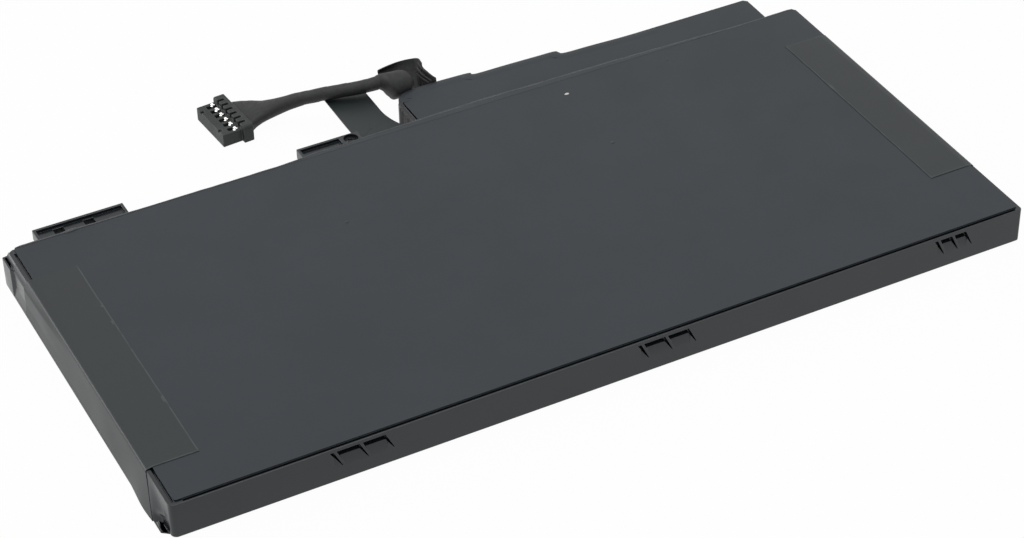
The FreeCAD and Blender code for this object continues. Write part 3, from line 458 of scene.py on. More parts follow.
def add_film(work: Work, rows: Grid, thickness: float) -> None:
    """Add a closed film: a grid of points that is given a thickness.

    Args:
        work: The mesh to add to.
        rows: The film's upper side, row by row.
        thickness: Its thickness in millimetres, below zero to thicken the other way.
    """
    count, across = len(rows), len(rows[0])
    columns = list(zip(*rows))
    under = [[point - step_at(row, j).cross(step_at(columns[j], i)).normalized()
              * thickness * MM for j, point in enumerate(row)] for i, row in enumerate(rows)]
    top = add_grid(work, rows)
    low = add_grid(work, under)
    ring = ([(0, j) for j in range(across)] + [(i, across - 1) for i in range(1, count)]
            + [(count - 1, j) for j in range(across - 2, -1, -1)]
            + [(i, 0) for i in range(count - 2, 0, -1)])
    for (a, b), (c, d) in zip(ring, ring[1:] + ring[:1]):
        work.faces.new((top[a][b], top[c][d], low[c][d], low[a][b]))


def film_from(name: str, rows: Grid, thickness: float, angle: float = 40.0) -> Item:
    """Build one film as an object of its own."""
    return mesh_from(name, lambda work: add_film(work, rows, thickness), angle)


def add_tube(work: Work, rings: Grid) -> None:
    """Add a tube through rings of points and close both its ends."""
    made = add_grid(work, rings, closed=True)
    work.faces.new(made[0])
    work.faces.new(list(reversed(made[-1])))


def tube_from(name: str, rings: Grid, angle: float = 50.0) -> Item:
    """Build one tube as an object of its own."""
    return mesh_from(name, lambda work: add_tube(work, rings), angle)


def add_blob(work: Work, radius: float, stretch: Point, middle: Vector,
             detail: tuple[int, int]) -> None:
    """Add a ball that is pressed flat.

    Args:
        work: The mesh to add to.
        radius: The ball's radius in millimetres.
        stretch: The factors by which its three axes are scaled.
        middle: Its middle in metres.
        detail: How many faces it has round its waist, and from pole to pole.
    """
    made = bmesh.ops.create_uvsphere(work, u_segments=detail[0], v_segments=detail[1],
                                     radius=radius * MM)["verts"]
    bmesh.ops.scale(work, vec=stretch, verts=made)
    bmesh.ops.translate(work, vec=middle, verts=made)


def softened(source: Item, name: str, width: float, segments: int = 2) -> Item:
    """Copy a solid of the frame and round its edges over, as a mould leaves them.

    Args:
        source: The frame's object.
        name: The new piece's name.
        width: The width of the rounding in millimetres.
        segments: How many faces the rounding has.

    Returns:
        The new object. Its face attribute `rounded` marks the rounded faces.
    """
    work = bmesh.new()
    work.from_mesh(source.data)
    bmesh.ops.remove_doubles(work, verts=work.verts, dist=2e-6)
    bmesh.ops.dissolve_limit(work, angle_limit=math.radians(0.6), verts=work.verts,
                             edges=work.edges)
    mesh = bpy.data.meshes.new(name)
    work.to_mesh(mesh)
    work.free()
    if "custom_normal" in mesh.attributes:
        mesh.attributes.remove(mesh.attributes["custom_normal"])
    mesh.polygons.foreach_set("material_index", [0] * len(mesh.polygons))
    mesh.shade_smooth()
    rough = place_object(name + "_rough", mesh)
    bevel = rough.modifiers.new("rounding", "BEVEL")
    bevel.width = width * MM
    bevel.segments = segments
    bevel.limit_method = "ANGLE"
    bevel.angle_limit = math.radians(28.0)
    bevel.use_clamp_overlap = False
    bevel.material = 1
    mesh.materials.append(None)
    mesh.materials.append(None)
    surface = BVHTree.FromPolygons([vertex.co for vertex in mesh.vertices],
                                   [tuple(face.vertices) for face in mesh.polygons])
    result = bake(rough, name)
    # Where short edges meet, the rounding shoots out in spikes, which go back to the solid.
    for vertex in result.data.vertices:
        place, _, _, away = surface.find_nearest(vertex.co)
        if away > 1.5 * width * MM:
            vertex.co = place
        vertex.co.z = max(vertex.co.z, 0.0)
    faces = result.data.polygons
    marks = [0] * len(faces)
    faces.foreach_get("material_index", marks)
    layer = result.data.attributes.new("rounded", "FLOAT", "FACE")
    layer.data.foreach_set("value", [float(mark) for mark in marks])
    faces.foreach_set("material_index", [0] * len(marks))
    result.data.materials.clear()
    finish_mesh(result.data, 40.0)
    result.modifiers.new("flat_faces", "WEIGHTED_NORMAL").keep_sharp = True
    return bake(result, name)


def mark_faces(item: Item, rule: Callable[[Vector, float], float]) -> None:
    """Set the face attribute `rounded`, which the finishes show as rubbed and lighter.

    Args:
        item: The mesh object.
        rule: Gives the new value from the face's middle in slab millimetres and its old
            value.
    """
    mesh = item.data
    layer = mesh.attributes.get("rounded")
    values = [0.0] * len(mesh.polygons)
    if layer is None:
        layer = mesh.attributes.new("rounded", "FLOAT", "FACE")
    else:
        layer.data.foreach_get("value", values)
    for face in mesh.polygons:
        values[face.index] = rule(face.center / MM - SLAB_FOOT, values[face.index])
    layer.data.foreach_set("value", values)


def smooth_path(points: Sequence[Sequence[float]], count: int) -> list[list[float]]:
    """Run a smooth line through rows of numbers.

    Args:
        points: The rows to pass through.
        count: How many steps to take between two rows.

    Returns:
        The finer rows, ends included.
    """
    rows = []
    last = len(points) - 1
    for i in range(last):
        quad = [points[max(i - 1, 0)], points[i], points[i + 1], points[min(i + 2, last)]]
        for step in range(count):
            t = step / count
            rows.append([b + 0.5 * t * (c - a + t * (2 * a - 5 * b + 4 * c - d
                                                      + t * (3 * (b - c) + d - a)))
                         for a, b, c, d in zip(*quad)])
    rows.append(list(points[-1]))
    return rows


def copies_group() -> Tree:
    """Make the geometry nodes that set a copy of one part on every point.

    Returns:
        The new tree.
    """
    tree = bpy.data.node_groups.new("Copies_on_points", "GeometryNodeTree")
    for label, kind in (("Points", "Geometry"), ("Part", "Object"), ("Spread", "Float"),
                        ("Seed", "Int"), ("Finish", "Material")):
        tree.interface.new_socket(label, in_out="INPUT", socket_type="NodeSocket" + kind)
    tree.interface.new_socket("Copies", in_out="OUTPUT", socket_type="NodeSocketGeometry")
    sheet = NodeSheet(tree)
    given = sheet.add("NodeGroupInput").outputs
    part = sheet.add("GeometryNodeObjectInfo", Object=given["Part"])
    small = sheet.math("SUBTRACT", 1.0, given["Spread"])
    large = sheet.math("ADD", 1.0, given["Spread"])
    size = sheet.add("FunctionNodeRandomValue", {"data_type": "FLOAT"}, i2=small, i3=large,
                     Seed=given["Seed"])
    placed = sheet.add("GeometryNodeInstanceOnPoints", Points=given["Points"],
                       Instance=part.outputs["Geometry"], Scale=size.outputs[1])
    real = sheet.add("GeometryNodeRealizeInstances", Geometry=placed.outputs["Instances"])
    painted = sheet.add("GeometryNodeSetMaterial", Geometry=real.outputs["Geometry"],
                        Material=given["Finish"])
    sheet.add("NodeGroupOutput", Copies=painted.outputs["Geometry"])
    return tree


def repeat(name: str, points: Sequence[Vector], part: Item, spread: float,
           finish: bpy.types.Material, seed: int = 7) -> Item:
    """Set copies of a part on points and bake them into one mesh.

    Args:
        name: The new piece's name.
        points: Where the copies stand, in metres.
        part: The part to copy. It is used up.
        spread: How far the copies differ in size, from 0 to 1.
        finish: The material of the copies.
        seed: The seed of the random sizes.

    Returns:
        The baked piece.
    """
    tree = bpy.data.node_groups.get("Copies_on_points") or copies_group()
    mesh = bpy.data.meshes.new(name + "_points")
    mesh.from_pydata([tuple(point) for point in points], [], [])
    carrier = place_object(name + "_points", mesh)
    modifier = carrier.modifiers.new("copies", "NODES")
    modifier.node_group = tree
    values = {"Part": part, "Spread": spread, "Seed": seed, "Finish": finish}
    for socket in tree.interface.items_tree:
        if socket.in_out == "INPUT" and socket.name in values:
            modifier[socket.identifier] = values[socket.name]
    carrier.update_tag()
    result = bake(carrier, name)
    bpy.data.objects.remove(part)
    finish_mesh(result.data, 45.0)
    return result


def bake(item: Item, name: str) -> Item:
    """Apply an object's modifiers.

    Args:
        item: The mesh object. It is used up.
        name: The result's name.

    Returns:
        The result as a new object.
    """
    bpy.context.view_layer.update()
    mesh = bpy.data.meshes.new_from_object(
        item.evaluated_get(bpy.context.evaluated_depsgraph_get()))
    old = item.data
    bpy.data.objects.remove(item)
    bpy.data.meshes.remove(old)
    mesh.name = name
    return place_object(name, mesh)


# --- Studio ---


@dataclass(frozen=True)
class Viewpoint:
    """The photograph's camera, as solved from the slab's corners."""

    place: Point = (-0.25856, -0.52386, 0.43887)
    azimuth: float = -26.815
    elevation: float = 37.67
    roll: float = -1.225
    lens: float = 98.12
    sensor: float = 36.0

    def add(self) -> None:
        """Create the camera and make it the scene's own."""
        around, up, roll = (math.radians(x) for x in (self.azimuth, self.elevation,
                                                      self.roll))
        back = Vector((math.sin(around) * math.cos(up), -math.cos(around) * math.cos(up),
                       math.sin(up)))
        right = UP.cross(back).normalized()
        above = back.cross(right)
        across = right * math.cos(roll) + above * math.sin(roll)
        upright = above * math.cos(roll) - right * math.sin(roll)
        turn = Matrix((across, upright, back)).transposed()
        data = bpy.data.cameras.new("camera")
        data.lens = self.lens
        data.sensor_width = self.sensor
        data.clip_start = 0.01
        camera = place_object("camera", data)
        camera.matrix_world = Matrix.Translation(Vector(self.place)) @ turn.to_4x4()
        bpy.context.scene.camera = camera


@dataclass(frozen=True)
class Softbox:
    """One large soft lamp that points at the pack."""

    name: str
    place: Point
    size: float
    power: float

    def add(self) -> None:
        """Hang the lamp and turn it to the pack."""
        data = bpy.data.lights.new(self.name, "AREA")
        data.energy = self.power
        data.size = self.size
        item = place_object(self.name, data)
        item.location = self.place
        item.rotation_euler = Vector(self.place).to_track_quat("Z", "Y").to_euler()


@dataclass(frozen=True)
class Studio:
    """The pale floor, the white surroundings and the soft lamps, in metres and watts."""

    lamps: tuple[Softbox, ...] = (
        Softbox("softbox_left", (-1.3, 1.2, 0.55), 1.2, 14.0),
        Softbox("softbox_above", (0.1, 0.2, 1.8), 1.4, 12.0),
        Softbox("softbox_front", (-0.2, -1.5, 1.1), 1.0, 1.5),
    )
    surround: float = 0.42
    floor_half: float = 3.0
    floor_level: float = -0.0001
    paper: Pair = (0.78, 0.82)
    paper_grain: float = 900.0
    glow: float = 0.97

    def build(self) -> None:
        """Make everything that lights or carries the pack."""
        bpy.context.scene.view_settings.view_transform = "Standard"
        Viewpoint().add()
        self._world()
        self._floor()
        for lamp in self.lamps:
            lamp.add()
        LOG.info("studio: %d lamps", len(self.lamps))

    def _seen(self, sheet: NodeSheet) -> Socket:
        """Return 1 where a ray carries the background into the picture."""
        rays = sheet.add("ShaderNodeLightPath").outputs
        seen = sheet.math("MAXIMUM", rays["Is Camera Ray"], rays["Is Transmission Ray"])
        return sheet.math("MAXIMUM", seen, rays["Is Glossy Ray"])

    def _world(self) -> None:
        """Make surroundings that light softly and look white."""
        world = bpy.data.worlds.new("surroundings")
        sheet = NodeSheet.blank(world)
        strength = sheet.span(self._seen(sheet), 0.0, 1.0, self.surround, 1.0)
        light = sheet.add("ShaderNodeBackground", Color=WHITE, Strength=strength)
        sheet.add("ShaderNodeOutputWorld", Surface=light.outputs[0])
        bpy.context.scene.world = world

    def _floor(self) -> None:
        """Lay a wide white floor that keeps only a faint shadow."""
        mesh = bpy.data.meshes.new("floor")
        corners = ((-1, -1), (1, -1), (1, 1), (-1, 1))
        mesh.from_pydata([(self.floor_half * x, self.floor_half * y, self.floor_level)
                          for x, y in corners], [], [(0, 1, 2, 3)])
        material = bpy.data.materials.new("paper_floor")
        sheet = NodeSheet.blank(material)
        grain = sheet.noise(sheet.add("ShaderNodeTexCoord").outputs["Object"],
                            self.paper_grain)
        dark, light = ((shade, shade, shade, 1.0) for shade in self.paper)
        paper = sheet.add("ShaderNodeBsdfDiffuse", Color=sheet.mix(grain, dark, light))
        glow = sheet.add("ShaderNodeEmission", Strength=1.0)
        share = sheet.math("MULTIPLY", self._seen(sheet), self.glow)
        both = sheet.add("ShaderNodeMixShader", i0=share, i1=paper.outputs[0],
                         i2=glow.outputs[0])
        sheet.add("ShaderNodeOutputMaterial", Surface=both.outputs[0])
        mesh.materials.append(material)
        place_object("floor", mesh)


# --- Pieces: the sizes in their fields are millimetres on the slab ---


@dataclass
class Piece:
    """Shared steps of every sub-assembly.

    Args:
        nodes: The frame's objects by name.
        paint: Makes the materials.
    """

    nodes: dict[str, Item]
    paint: PaintShop

    def dress(self, item: Item, slot: str, *stands_for: str) -> Item:
        """Give a new piece its material, body and slot.

        Args:
            item: The new piece.
            slot: The record's material slot.
            *stands_for: The frame's nodes that the piece replaces.

        Returns:
            The same piece.
        """
        self._paint(item, slot)
        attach(item, BODY)
        if stands_for:
            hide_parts(*stands_for)
        LOG.info("piece %s: %d faces", item.name, len(item.data.polygons))
        return item

    def repaint(self, slot: str, *names: str) -> None:
        """Put a material on nodes whose shape is right already."""
        for name in names:
            self._paint(self.nodes[name], slot)

    def _paint(self, item: Item, slot: str) -> None:
        """Leave an object with one material only."""
        item.data.materials.clear()
        item.data.materials.append(self.paint.material(slot))


@dataclass
class Lead(Piece):
    """The taped lead between the knot and the plug's fan."""

    thickness: float = 3.8
    length: float = 30.2
    facets: int = 28
    tape_pitch: float = 5.5
    tape_step: float = 0.07
    lap: float = 0.06
    crease: float = 0.05
    rub: float = 0.4
    route: Points = (
        (-1.22, 63.65, 10.4), (-5.62, 63.65, 10.4), (-10.32, 64.85, 10.2),
        (-15.02, 66.45, 9.8), (-19.42, 68.45, 8.9), (-23.72, 71.55, 7.1),
        (-27.82, 74.45, 4.9),
    )

    def build(self) -> None:
        """Lay the lead."""
        self.path = self._centreline()
        self.tube = tube_from("lead", self._rings())
        mark_faces(self.tube, lambda middle, old: self.rub)
        self.dress(self.tube, "lead_tape", "cable")

    def declare(self, with_pieces: Sequence[Item]) -> None:
        """Take the pieces that hang on the lead, and do nothing with them."""

    def _centreline(self) -> list[Vector]:
        """Run a spline along the route, which is in frame millimetres.

        Returns:
            The points of the lead's middle line in metres.
        """
        curve = bpy.data.curves.new("lead_route", "CURVE")
        curve.dimensions = "3D"
        curve.resolution_u = 20
        spline = curve.splines.new("NURBS")
        spline.points.add(len(self.route) - 1)
        for point, place in zip(spline.points, self.route):
            point.co = (*(Vector(place) * MM), 1.0)
        spline.order_u = 3
        spline.use_endpoint_u = True
        guide = place_object("lead_route", curve)
        bpy.context.view_layer.update()
        mesh = bpy.data.meshes.new_from_object(guide)
        points = [vertex.co.copy() for vertex in mesh.vertices]
        bpy.data.meshes.remove(mesh)
        bpy.data.objects.remove(guide)
        bpy.data.curves.remove(curve)
        length = sum((b - a).length for a, b in zip(points, points[1:]))
        LOG.info("lead: %d points, %.2f mm", len(points), length / MM)
        return points

    def _rings(self) -> Grid:
        """Wind tape round the lead's middle line.

        Returns:
            The tube's rings.
        """
        rings: Grid = []
        run = 0.0
        for index, point in enumerate(self.path):
            if index:
                run += (point - self.path[index - 1]).length / MM
            side, up = cross_at(self.path, index)
            ring = []
            for step in range(self.facets):
                turn = math.tau * step / self.facets
                way = side * math.cos(turn) + up * math.sin(turn)
                wound = (run / self.tape_pitch + step / self.facets) % 1.0
                raised = self.tape_step * (ease(wound / self.lap)
                                           - ease((wound - self.lap) / 0.9))
                creased = self.crease * (
                    ripple(point + way * self.thickness / 2 * MM, 2.2, 3.0) - 1.0)
                ring.append(point + way * (self.thickness / 2 + raised + creased) * MM)
            rings.append(ring)
        return rings


@dataclass
class Tray(Piece):
    """The moulded tray with its covers.

    Args:
        rounding: The rounding of the tray's edges.
        covers: Node, new name and rounding of each cover.
        rim: Where the outer rim starts at the rear, at the right end and in height.
    """

    rounding: float = 0.16
    covers: tuple[tuple[str, str, float], ...] = (
        ("top_cover", "cover_above", 0.1), ("bottom_cover", "cover_below", 0.12),
        ("bay_cover", "cover_bay", 0.1))
    rim: Point = (109.0, 235.4, 9.7)

    def build(self) -> None:
        """Round the edges of the hard parts over."""
        tray = self.dress(softened(self.nodes["frame"], "tray", self.rounding),
                          "tray_plastic", "frame")
        mark_faces(tray, self._rim_highlight)
        for node, name, width in self.covers:
            self.dress(softened(self.nodes[node], name, width), "cover_film", node)

    def _rim_highlight(self, middle: Vector, old: float) -> float:
        """Paint the strongest highlight on the outer rim at the rear and the right end, more
        than on other edges.

        Args:
            middle: The face's middle.
            old: 1 where the face was rounded over.

        Returns:
            The face's value of `rounded`.
        """
        rear, right, height = self.rim
        if old > 0.0 and middle.z > height and (middle.y > rear or middle.x > right):
            return 2.2
        # Rounded edges at the foot are lightened a quarter as much: less painted highlight
        # near the floor.
        return old * (0.25 if middle.z < 1.0 else 1.0)


@dataclass(frozen=True)
class Tape:
    """One folded end tape, in millimetres.

    Args:
        name: The new piece's name.
        node: The frame's node that it replaces.
        profile: Its corners as pairs of u and w, from its cut edge down.
        front: Where it starts on top.
        rear: Where it ends on top.
        rows: How many steps lie between the two.
        thickness: Below zero on the left, where the profile runs the other way.
        wander: How far its cut edge wanders, and the ripple's seed.
        light: How strongly its cut edges on top are lightened, as a painted highlight.
    """

    name: str
    node: str
    profile: Pairs
    front: float
    rear: float
    rows: int
    thickness: float
    wander: Pair
    light: float


@dataclass
class EndTapes(Piece):
    """The two tapes that are folded over the ends of the slab.

    Args:
        left: The tape that leans out over the left wall.
        right: The tape that drops straight down the right end.
        fold: The distance between two points of a profile.
        wall: The top and the height of the left wall.
        toe: How far the left tape's foot reaches forward.
        lean: How far the left wall leans out at its foot.
        sag: How far the left tape's foot hangs below its profile.
        belly: How far the wall bulges in front, where, and over what width.
        hump: Where the wall's fuller shoulder starts, and how long its rise is.
    """

    left: Tape = Tape("tape_left", "end_tape_left",
                      ((13.3, 10.62), (1.6, 10.62), (-0.14, 10.24), (-1.58, 0.82)),
                      14.2, 94.8, 130, -0.12, (0.14, 7.0), 1.0)
    right: Tape = Tape("tape_right", "end_tape_right",
                       ((222.8, 10.62), (234.4, 10.62), (236.14, 10.24), (236.14, 0.6)),
                       22.0, 93.7, 110, 0.12, (0.12, 11.0), 0.5)
    fold: float = 0.35
    wall: Pair = (9.9, 9.1)
    toe: float = 6.4
    lean: float = 1.44
    sag: float = 0.55
    belly: Point = (0.7, 13.5, 7.0)
    hump: Pair = (62.0, 34.0)

    def build(self) -> None:
        """Lay both tapes and the skins beside the left one."""
        self._lay(self.left, self._leaning)
        self._lay(self.right, self._straight)
        self._wall_skins()

    def _fold(self, profile: Sequence[Pair]) -> list[Pair]:
        """Divide a profile evenly and ease its corners.

        Args:
            profile: Corners as pairs of u and w.

        Returns:
            The finer profile.
        """
        line: list[Pair] = []
        for (u0, w0), (u1, w1) in zip(profile, profile[1:]):
            count = max(2, int(math.hypot(u1 - u0, w1 - w0) / self.fold))
            line += [(u0 + (u1 - u0) * i / count, w0 + (w1 - w0) * i / count)
                     for i in range(count)]
        line.append(profile[-1])
        eased = []
        for i in range(len(line)):
            span = min(1, i, len(line) - 1 - i)
            near = line[i - span:i + span + 1]
            eased.append((sum(p[0] for p in near) / len(near),
                          sum(p[1] for p in near) / len(near)))
        return eased

    def _lay(self, tape: Tape, place: Callable[[float, float, float], Vector]) -> None:
        """Lay one tape.

        Args:
            tape: Its sizes.
            place: Turns u, w and the share of the way to the rear into a point.
        """
        line = self._fold(tape.profile)
        rows = [[place(u, w, i / tape.rows) for u, w in line] for i in range(tape.rows + 1)]
        cut = tape.profile[0][0]
        reach, seed = tape.wander
        for row in rows:
            for (u, _), point in zip(line, row):
                if abs(u - cut) < 0.4:
                    point.x += reach * MM * ripple(point, 6.0, seed)
        item = film_from(tape.name, rows, tape.thickness)
        # The cut edges on top are lightened as a painted highlight.
        mark_faces(item, lambda middle, old: tape.light * self._cut_edge_highlight(
            abs(middle.x - cut), min(middle.y - tape.front, tape.rear - middle.y), middle.z))
        self.dress(item, "end_tape", tape.node)

    def _straight(self, u: float, w: float, share: float) -> Vector:
        """Return a point of the right tape, which has no lean."""
        return at(u, self.right.front + (self.right.rear - self.right.front) * share, w)

    def _leaning(self, u: float, w: float, share: float) -> Vector:
        """Lean the left tape out, and close it in on the wall.

        Args:
            u: The point's place in the profile.
            w: Its height in the profile.
            share: Its share of the way to the rear.

        Returns:
            The point in metres.
        """
        top, height = self.wall
        drop = min(max(0.0, (top - w) / height), 1.0)
        front = self.left.front - self.toe * drop
        share *= 0.35 + 0.65 * share
        v = front + (self.left.rear - front) * share
        if u < 0.0:
            u -= self._bulge(v) * drop ** 1.5
            u -= self._shoulder(1.0, drop, v)
        place = at(u, v, w - self.sag * drop ** 4)
        if drop > 0.0:
            place.x -= 0.08 * MM * ease(drop * 2.0) * ripple(place, 9.0, 2.0)
        return place

    def _bulge(self, v: float) -> float:
        """Return how far the wall's foot bulges out at a place along it."""
        size, middle, width = self.belly
        return size * bell(v, middle, width)

    def _shoulder(self, size: float, drop: float, v: float) -> float:
        """Return how far the wall's shoulder comes out.

        Args:
            size: How full it is at its top.
            drop: The share of the way down the wall.
            v: The place along the wall.

        Returns:
            The distance in millimetres.
        """
        start, rise = self.hump
        slope = min(max(drop * 6.0, 0.0), 1.0)
        return max(0.0, size - self.lean * drop) * slope * ease((v - start) / rise)

    def _wall_skins(self) -> None:
        """Lay the smooth skins that run on over the wall in front of and behind the tape."""
        def front(share: float, drop: float) -> Vector:
            """Run from the foot's corner to the tape's front edge."""
            edge = self.left.front - self.toe * drop
            span = 7.5 - 4.6 * ease((drop - 0.6) / 0.3)
            v = max(edge + 1.6 - (span + 1.6) * (1.0 - share), 1.9)
            share = ease(1.0 - (edge - v) / span)
            lean = 0.1 + self.lean * drop + self._bulge(v) * drop ** 1.5
            return at(0.06 - lean * share * ease(drop / 0.04), v,
                      10.0 - 9.1 * drop - 0.5 * drop ** 4 * share)

        def rear(share: float, drop: float) -> Vector:
            """Run from the tape's rear edge to the hook."""
            v = 93.5 + 10.0 * share
            return at(-0.02 - self.lean * drop - self._shoulder(0.98, drop, v), v,
                      10.02 - 9.5 * drop)

        profile = ((0.1, 10.02), (-0.3, 9.6), (-0.7, 8.9), (-0.8, 7.5), (-0.8, 4.0))
        narrow = [[at(u, 103.3 + 5.6 * i / 12, w) for u, w in profile] for i in range(13)]

        def fill(work: Work) -> None:
            """Add both skins, and the narrow one in the hook's gap."""
            add_film(work, grid_of(28, 24, front), -0.08)
            add_film(work, grid_of(20, 24, rear), -0.08)
            add_film(work, narrow, -0.1)

        self.dress(mesh_from("wall_skins", fill, 40.0), "tray_plastic")

    @staticmethod
    def _cut_edge_highlight(side: float, end: float, height: float) -> float:
        """Return the painted highlight on a tape's cut edges along its top.

        Args:
            side: Millimetres to the long inner edge.
            end: Millimetres to the nearer short edge.
            height: Millimetres above the floor.

        Returns:
            The face's value of `rounded`.
        """
        if height < 10.3:
            return 0.0
        if side < 0.5:
            return 1.9
        return 1.0 if end < 0.35 else 0.0


@dataclass
class PullTab(Piece):
    """The strap of film that lifts the pack out.

    Args:
        ends: Where it starts and ends.
        lefts: Its left edge before and behind the step at the ear.
        step: Where that step is.
        right: Its right edge.
        flare: The flare's right edge, its radius and where it ends.
        corner: The radius of its free corners.
        crease: Where its crease runs: the u and v of its tip, and its slope.
        height: Its height, and how far its free end curls up.
        thickness: The film's thickness.
    """

    ends: Pair = (109.8, 138.3)
    lefts: Pair = (101.9, 100.6)
    step: float = 117.7
    right: float = 112.1
    flare: Point = (115.5, 20.0, 124.5)
    corner: float = 1.5
    crease: Point = (103.4, 115.0, 1.1)
    height: Pair = (7.1, 0.25)
    thickness: float = 0.35

    def build(self) -> None:
        """Cut the strap with its flare, its crease and a little curl."""
        strap = film_from("strap", grid_of(64, 24, self._place), -self.thickness)
        self.dress(strap, "pull_film", "pull_tab")

    def _place(self, along: float, across: float) -> Vector:
        """Turn two shares of the strap into a point.

        Args:
            along: The share of the way to its free end.
            across: The share of the way to its right edge.

        Returns:
            The point in metres.
        """
        start, end = self.ends
        v = start + (end - start) * along
        left = self.lefts[v >= self.step]
        edge, radius, straight = self.flare
        right = self.right
        if v < straight:
            right = min(edge, right + radius - math.sqrt(radius ** 2 - (v - straight) ** 2))
        past = max(0.0, v - end + self.corner)
        trim = self.corner - math.sqrt(max(0.0, self.corner ** 2 - past ** 2))
        u = left + trim + (right - left - 2.0 * trim) * across
        tip_u, tip_v, slope = self.crease
        w = self.height[0] + self.height[1] * ease((v - 120.0) / 18.0)
        if 101.0 < u < 106.0:
            w -= 0.22 * bell(abs(v - tip_v - slope * abs(u - tip_u)), 0.0, 0.5)
        place = at(u, v, w)
        place.z += 0.06 * MM * ripple(place, 6.0, 5.0)
        return place


@dataclass
class Innards(Piece):
    """Everything inside the tray: its shapes are right, so it only gets its finishes."""

    NUMBERED = {"cell_pouch": "cell", "cell_glue": "cell_adhesive",
                "aluminium_tab": "positive_tab", "nickel_tab": "negative_tab",
                "wire_jacket": "lead_wire"}
    SINGLE = {"flex_film": ("interconnect_flex",), "insulation": ("tab_insulation",),
              "board": ("circuit_board",),
              "chip": ("charge_switch", "discharge_switch", "controller_chip",
                       "safety_fuse"),
              "ceramic_part": ("sense_resistor", "filter_capacitor", "thermistor")}

    def build(self) -> None:
        """Paint the cells, the tabs, the flex, the wires and the board."""
        for slot, stem in self.NUMBERED.items():
            self.repaint(slot, *(f"{stem}_{n}" for n in SIX))
        for slot, names in self.SINGLE.items():
            self.repaint(slot, *names)


@dataclass
class Knot(Piece):
    """The tape wound round the lead's bend: a lobe, a loose sheet behind it and strands.

    Args:
        lobe: Its rings: u, v and w, half their depth and half their height.
        top_edge: The loose sheet's upper edge.
        low_edge: Its lower edge.
        strands: The lines of the three strands.
        tape: The sheet's thickness.
        strand: Half a strand's width, what every other one adds, and half its thickness.
    """

    lobe: Stations = (
        (115.4, 133.0, 10.4, 1.92, 1.92), (116.5, 132.4, 10.25, 2.7, 2.5),
        (117.7, 130.9, 9.8, 3.9, 3.6), (119.4, 130.4, 9.85, 4.1, 3.7),
        (121.2, 130.2, 9.95, 4.0, 3.6), (122.7, 130.1, 9.9, 3.6, 3.25),
        (123.8, 130.0, 9.85, 2.8, 2.5), (124.5, 130.0, 9.8, 1.5, 1.4),
        (124.7, 130.0, 9.8, 0.4, 0.4),
    )
    top_edge: Points = (
        (117.2, 135.9, 12.0), (120.8, 136.1, 12.5), (124.8, 136.0, 12.9),
        (128.6, 134.8, 13.1), (128.5, 133.0, 12.7), (128.5, 131.2, 12.1),
        (128.9, 129.4, 11.8), (129.5, 127.8, 11.3), (130.2, 126.6, 10.9),
    )
    low_edge: Points = (
        (117.4, 134.8, 9.6), (120.2, 133.2, 8.2), (123.0, 131.0, 7.2),
        (125.4, 129.6, 6.8), (126.6, 128.8, 6.8), (127.6, 128.0, 7.0),
        (128.4, 127.4, 7.4), (129.2, 126.9, 8.0), (130.0, 126.6, 8.6),
    )
    strands: tuple[Points, ...] = (
        ((128.0, 133.2, 12.8), (128.1, 131.2, 12.2), (128.5, 129.4, 11.9),
         (129.7, 126.9, 11.0)),
        ((127.2, 132.0, 12.1), (127.4, 130.2, 11.5), (127.9, 128.6, 11.0),
         (129.0, 126.6, 10.3)),
        ((126.4, 130.8, 11.2), (126.7, 129.6, 10.8), (127.2, 128.2, 10.5),
         (128.0, 126.6, 10.1)),
    )
    tape: float = 0.25
    strand: Point = (0.2, 0.08, 0.14)

    def build(self) -> Item:
        """Make the wrap and return it."""
        wrap = mesh_from("wrap", self._fill, 50.0)
        mark_faces(wrap, self._fold_highlight)
        return self.dress(wrap, "lead_tape", "cable_wrap")

    @staticmethod
    def _fold_highlight(middle: Vector, old: float) -> float:
        """Lighten the stretched strands and the sheet's upper fold, as a painted highlight.
        """
        in_highlight = 127.6 < middle.x < 129.6 and middle.z > 10.4 and middle.y > 131.4
        return 1.2 if in_highlight else old

    def _fill(self, work: Work) -> None:
        """Add the lobe, the sheet and the strands.

        Args:
            work: The mesh to add to.
        """
        add_tube(work, [self._lobe_ring(station) for station in smooth_path(self.lobe, 6)])
        add_film(work, self._sheet(), self.tape)
        for index, points in enumerate(self.strands):
            line = [at(*point) for point in smooth_path(points, 5)]
            width = self.strand[0] + self.strand[1] * (index % 2)
            rings: Grid = []
            for step, place in enumerate(line):
                side, up = cross_at(line, step)
                rings.append(ring_of(10, lambda turn: place + (
                    side * math.cos(turn) * width
                    + up * math.sin(turn) * self.strand[2]) * MM))
            add_tube(work, rings)

    @staticmethod
    def _lobe_ring(station: Sequence[float]) -> list[Vector]:
        """Wind tape once round the lobe, with pleats where the lead enters it.

        Args:
            station: The ring's u, v and w, half its depth and half its height.

        Returns:
            The ring's points.
        """
        u, v, w, deep, high = station

        def point(turn: float) -> Vector:
            """Return the ring's point at an angle."""
            way = Vector((0, math.cos(turn) * deep, math.sin(turn) * high))
            place = at(u, v, w) + way * MM
            pleat = bell(u, 118.2, 1.5) * max(0.0, -math.sin(turn)) ** 2
            swell = 0.14 * ripple(place, 3.0, 4.0) + 0.22 * pleat * math.cos(9 * turn)
            return place + way.normalized() * swell * MM

        return ring_of(40, point)

    def _sheet(self) -> Grid:
        """Hang the loose sheet between its upper and its lower edge.

        Returns:
            The sheet's rows of points.
        """
        rows: Grid = []
        edges = zip(smooth_path(self.top_edge, 8), smooth_path(self.low_edge, 8))
        for i, (high, low) in enumerate(edges):
            row = []
            fold = bell(i, 31, 2.2)
            deep = 1.2 if i < 32 else -0.4
            for j in range(15):
                t = j / 14
                place = at(*high).lerp(at(*low), t)
                place.y += deep * math.sin(math.pi * t) * MM
                place += Vector((0.2, -0.7, 0.1)) * fold * (1.0 - t) * MM
                place.y += 0.18 * MM * ripple(place, 2.6, 9.0)
                row.append(place)
            rows.append(row)
        return rows


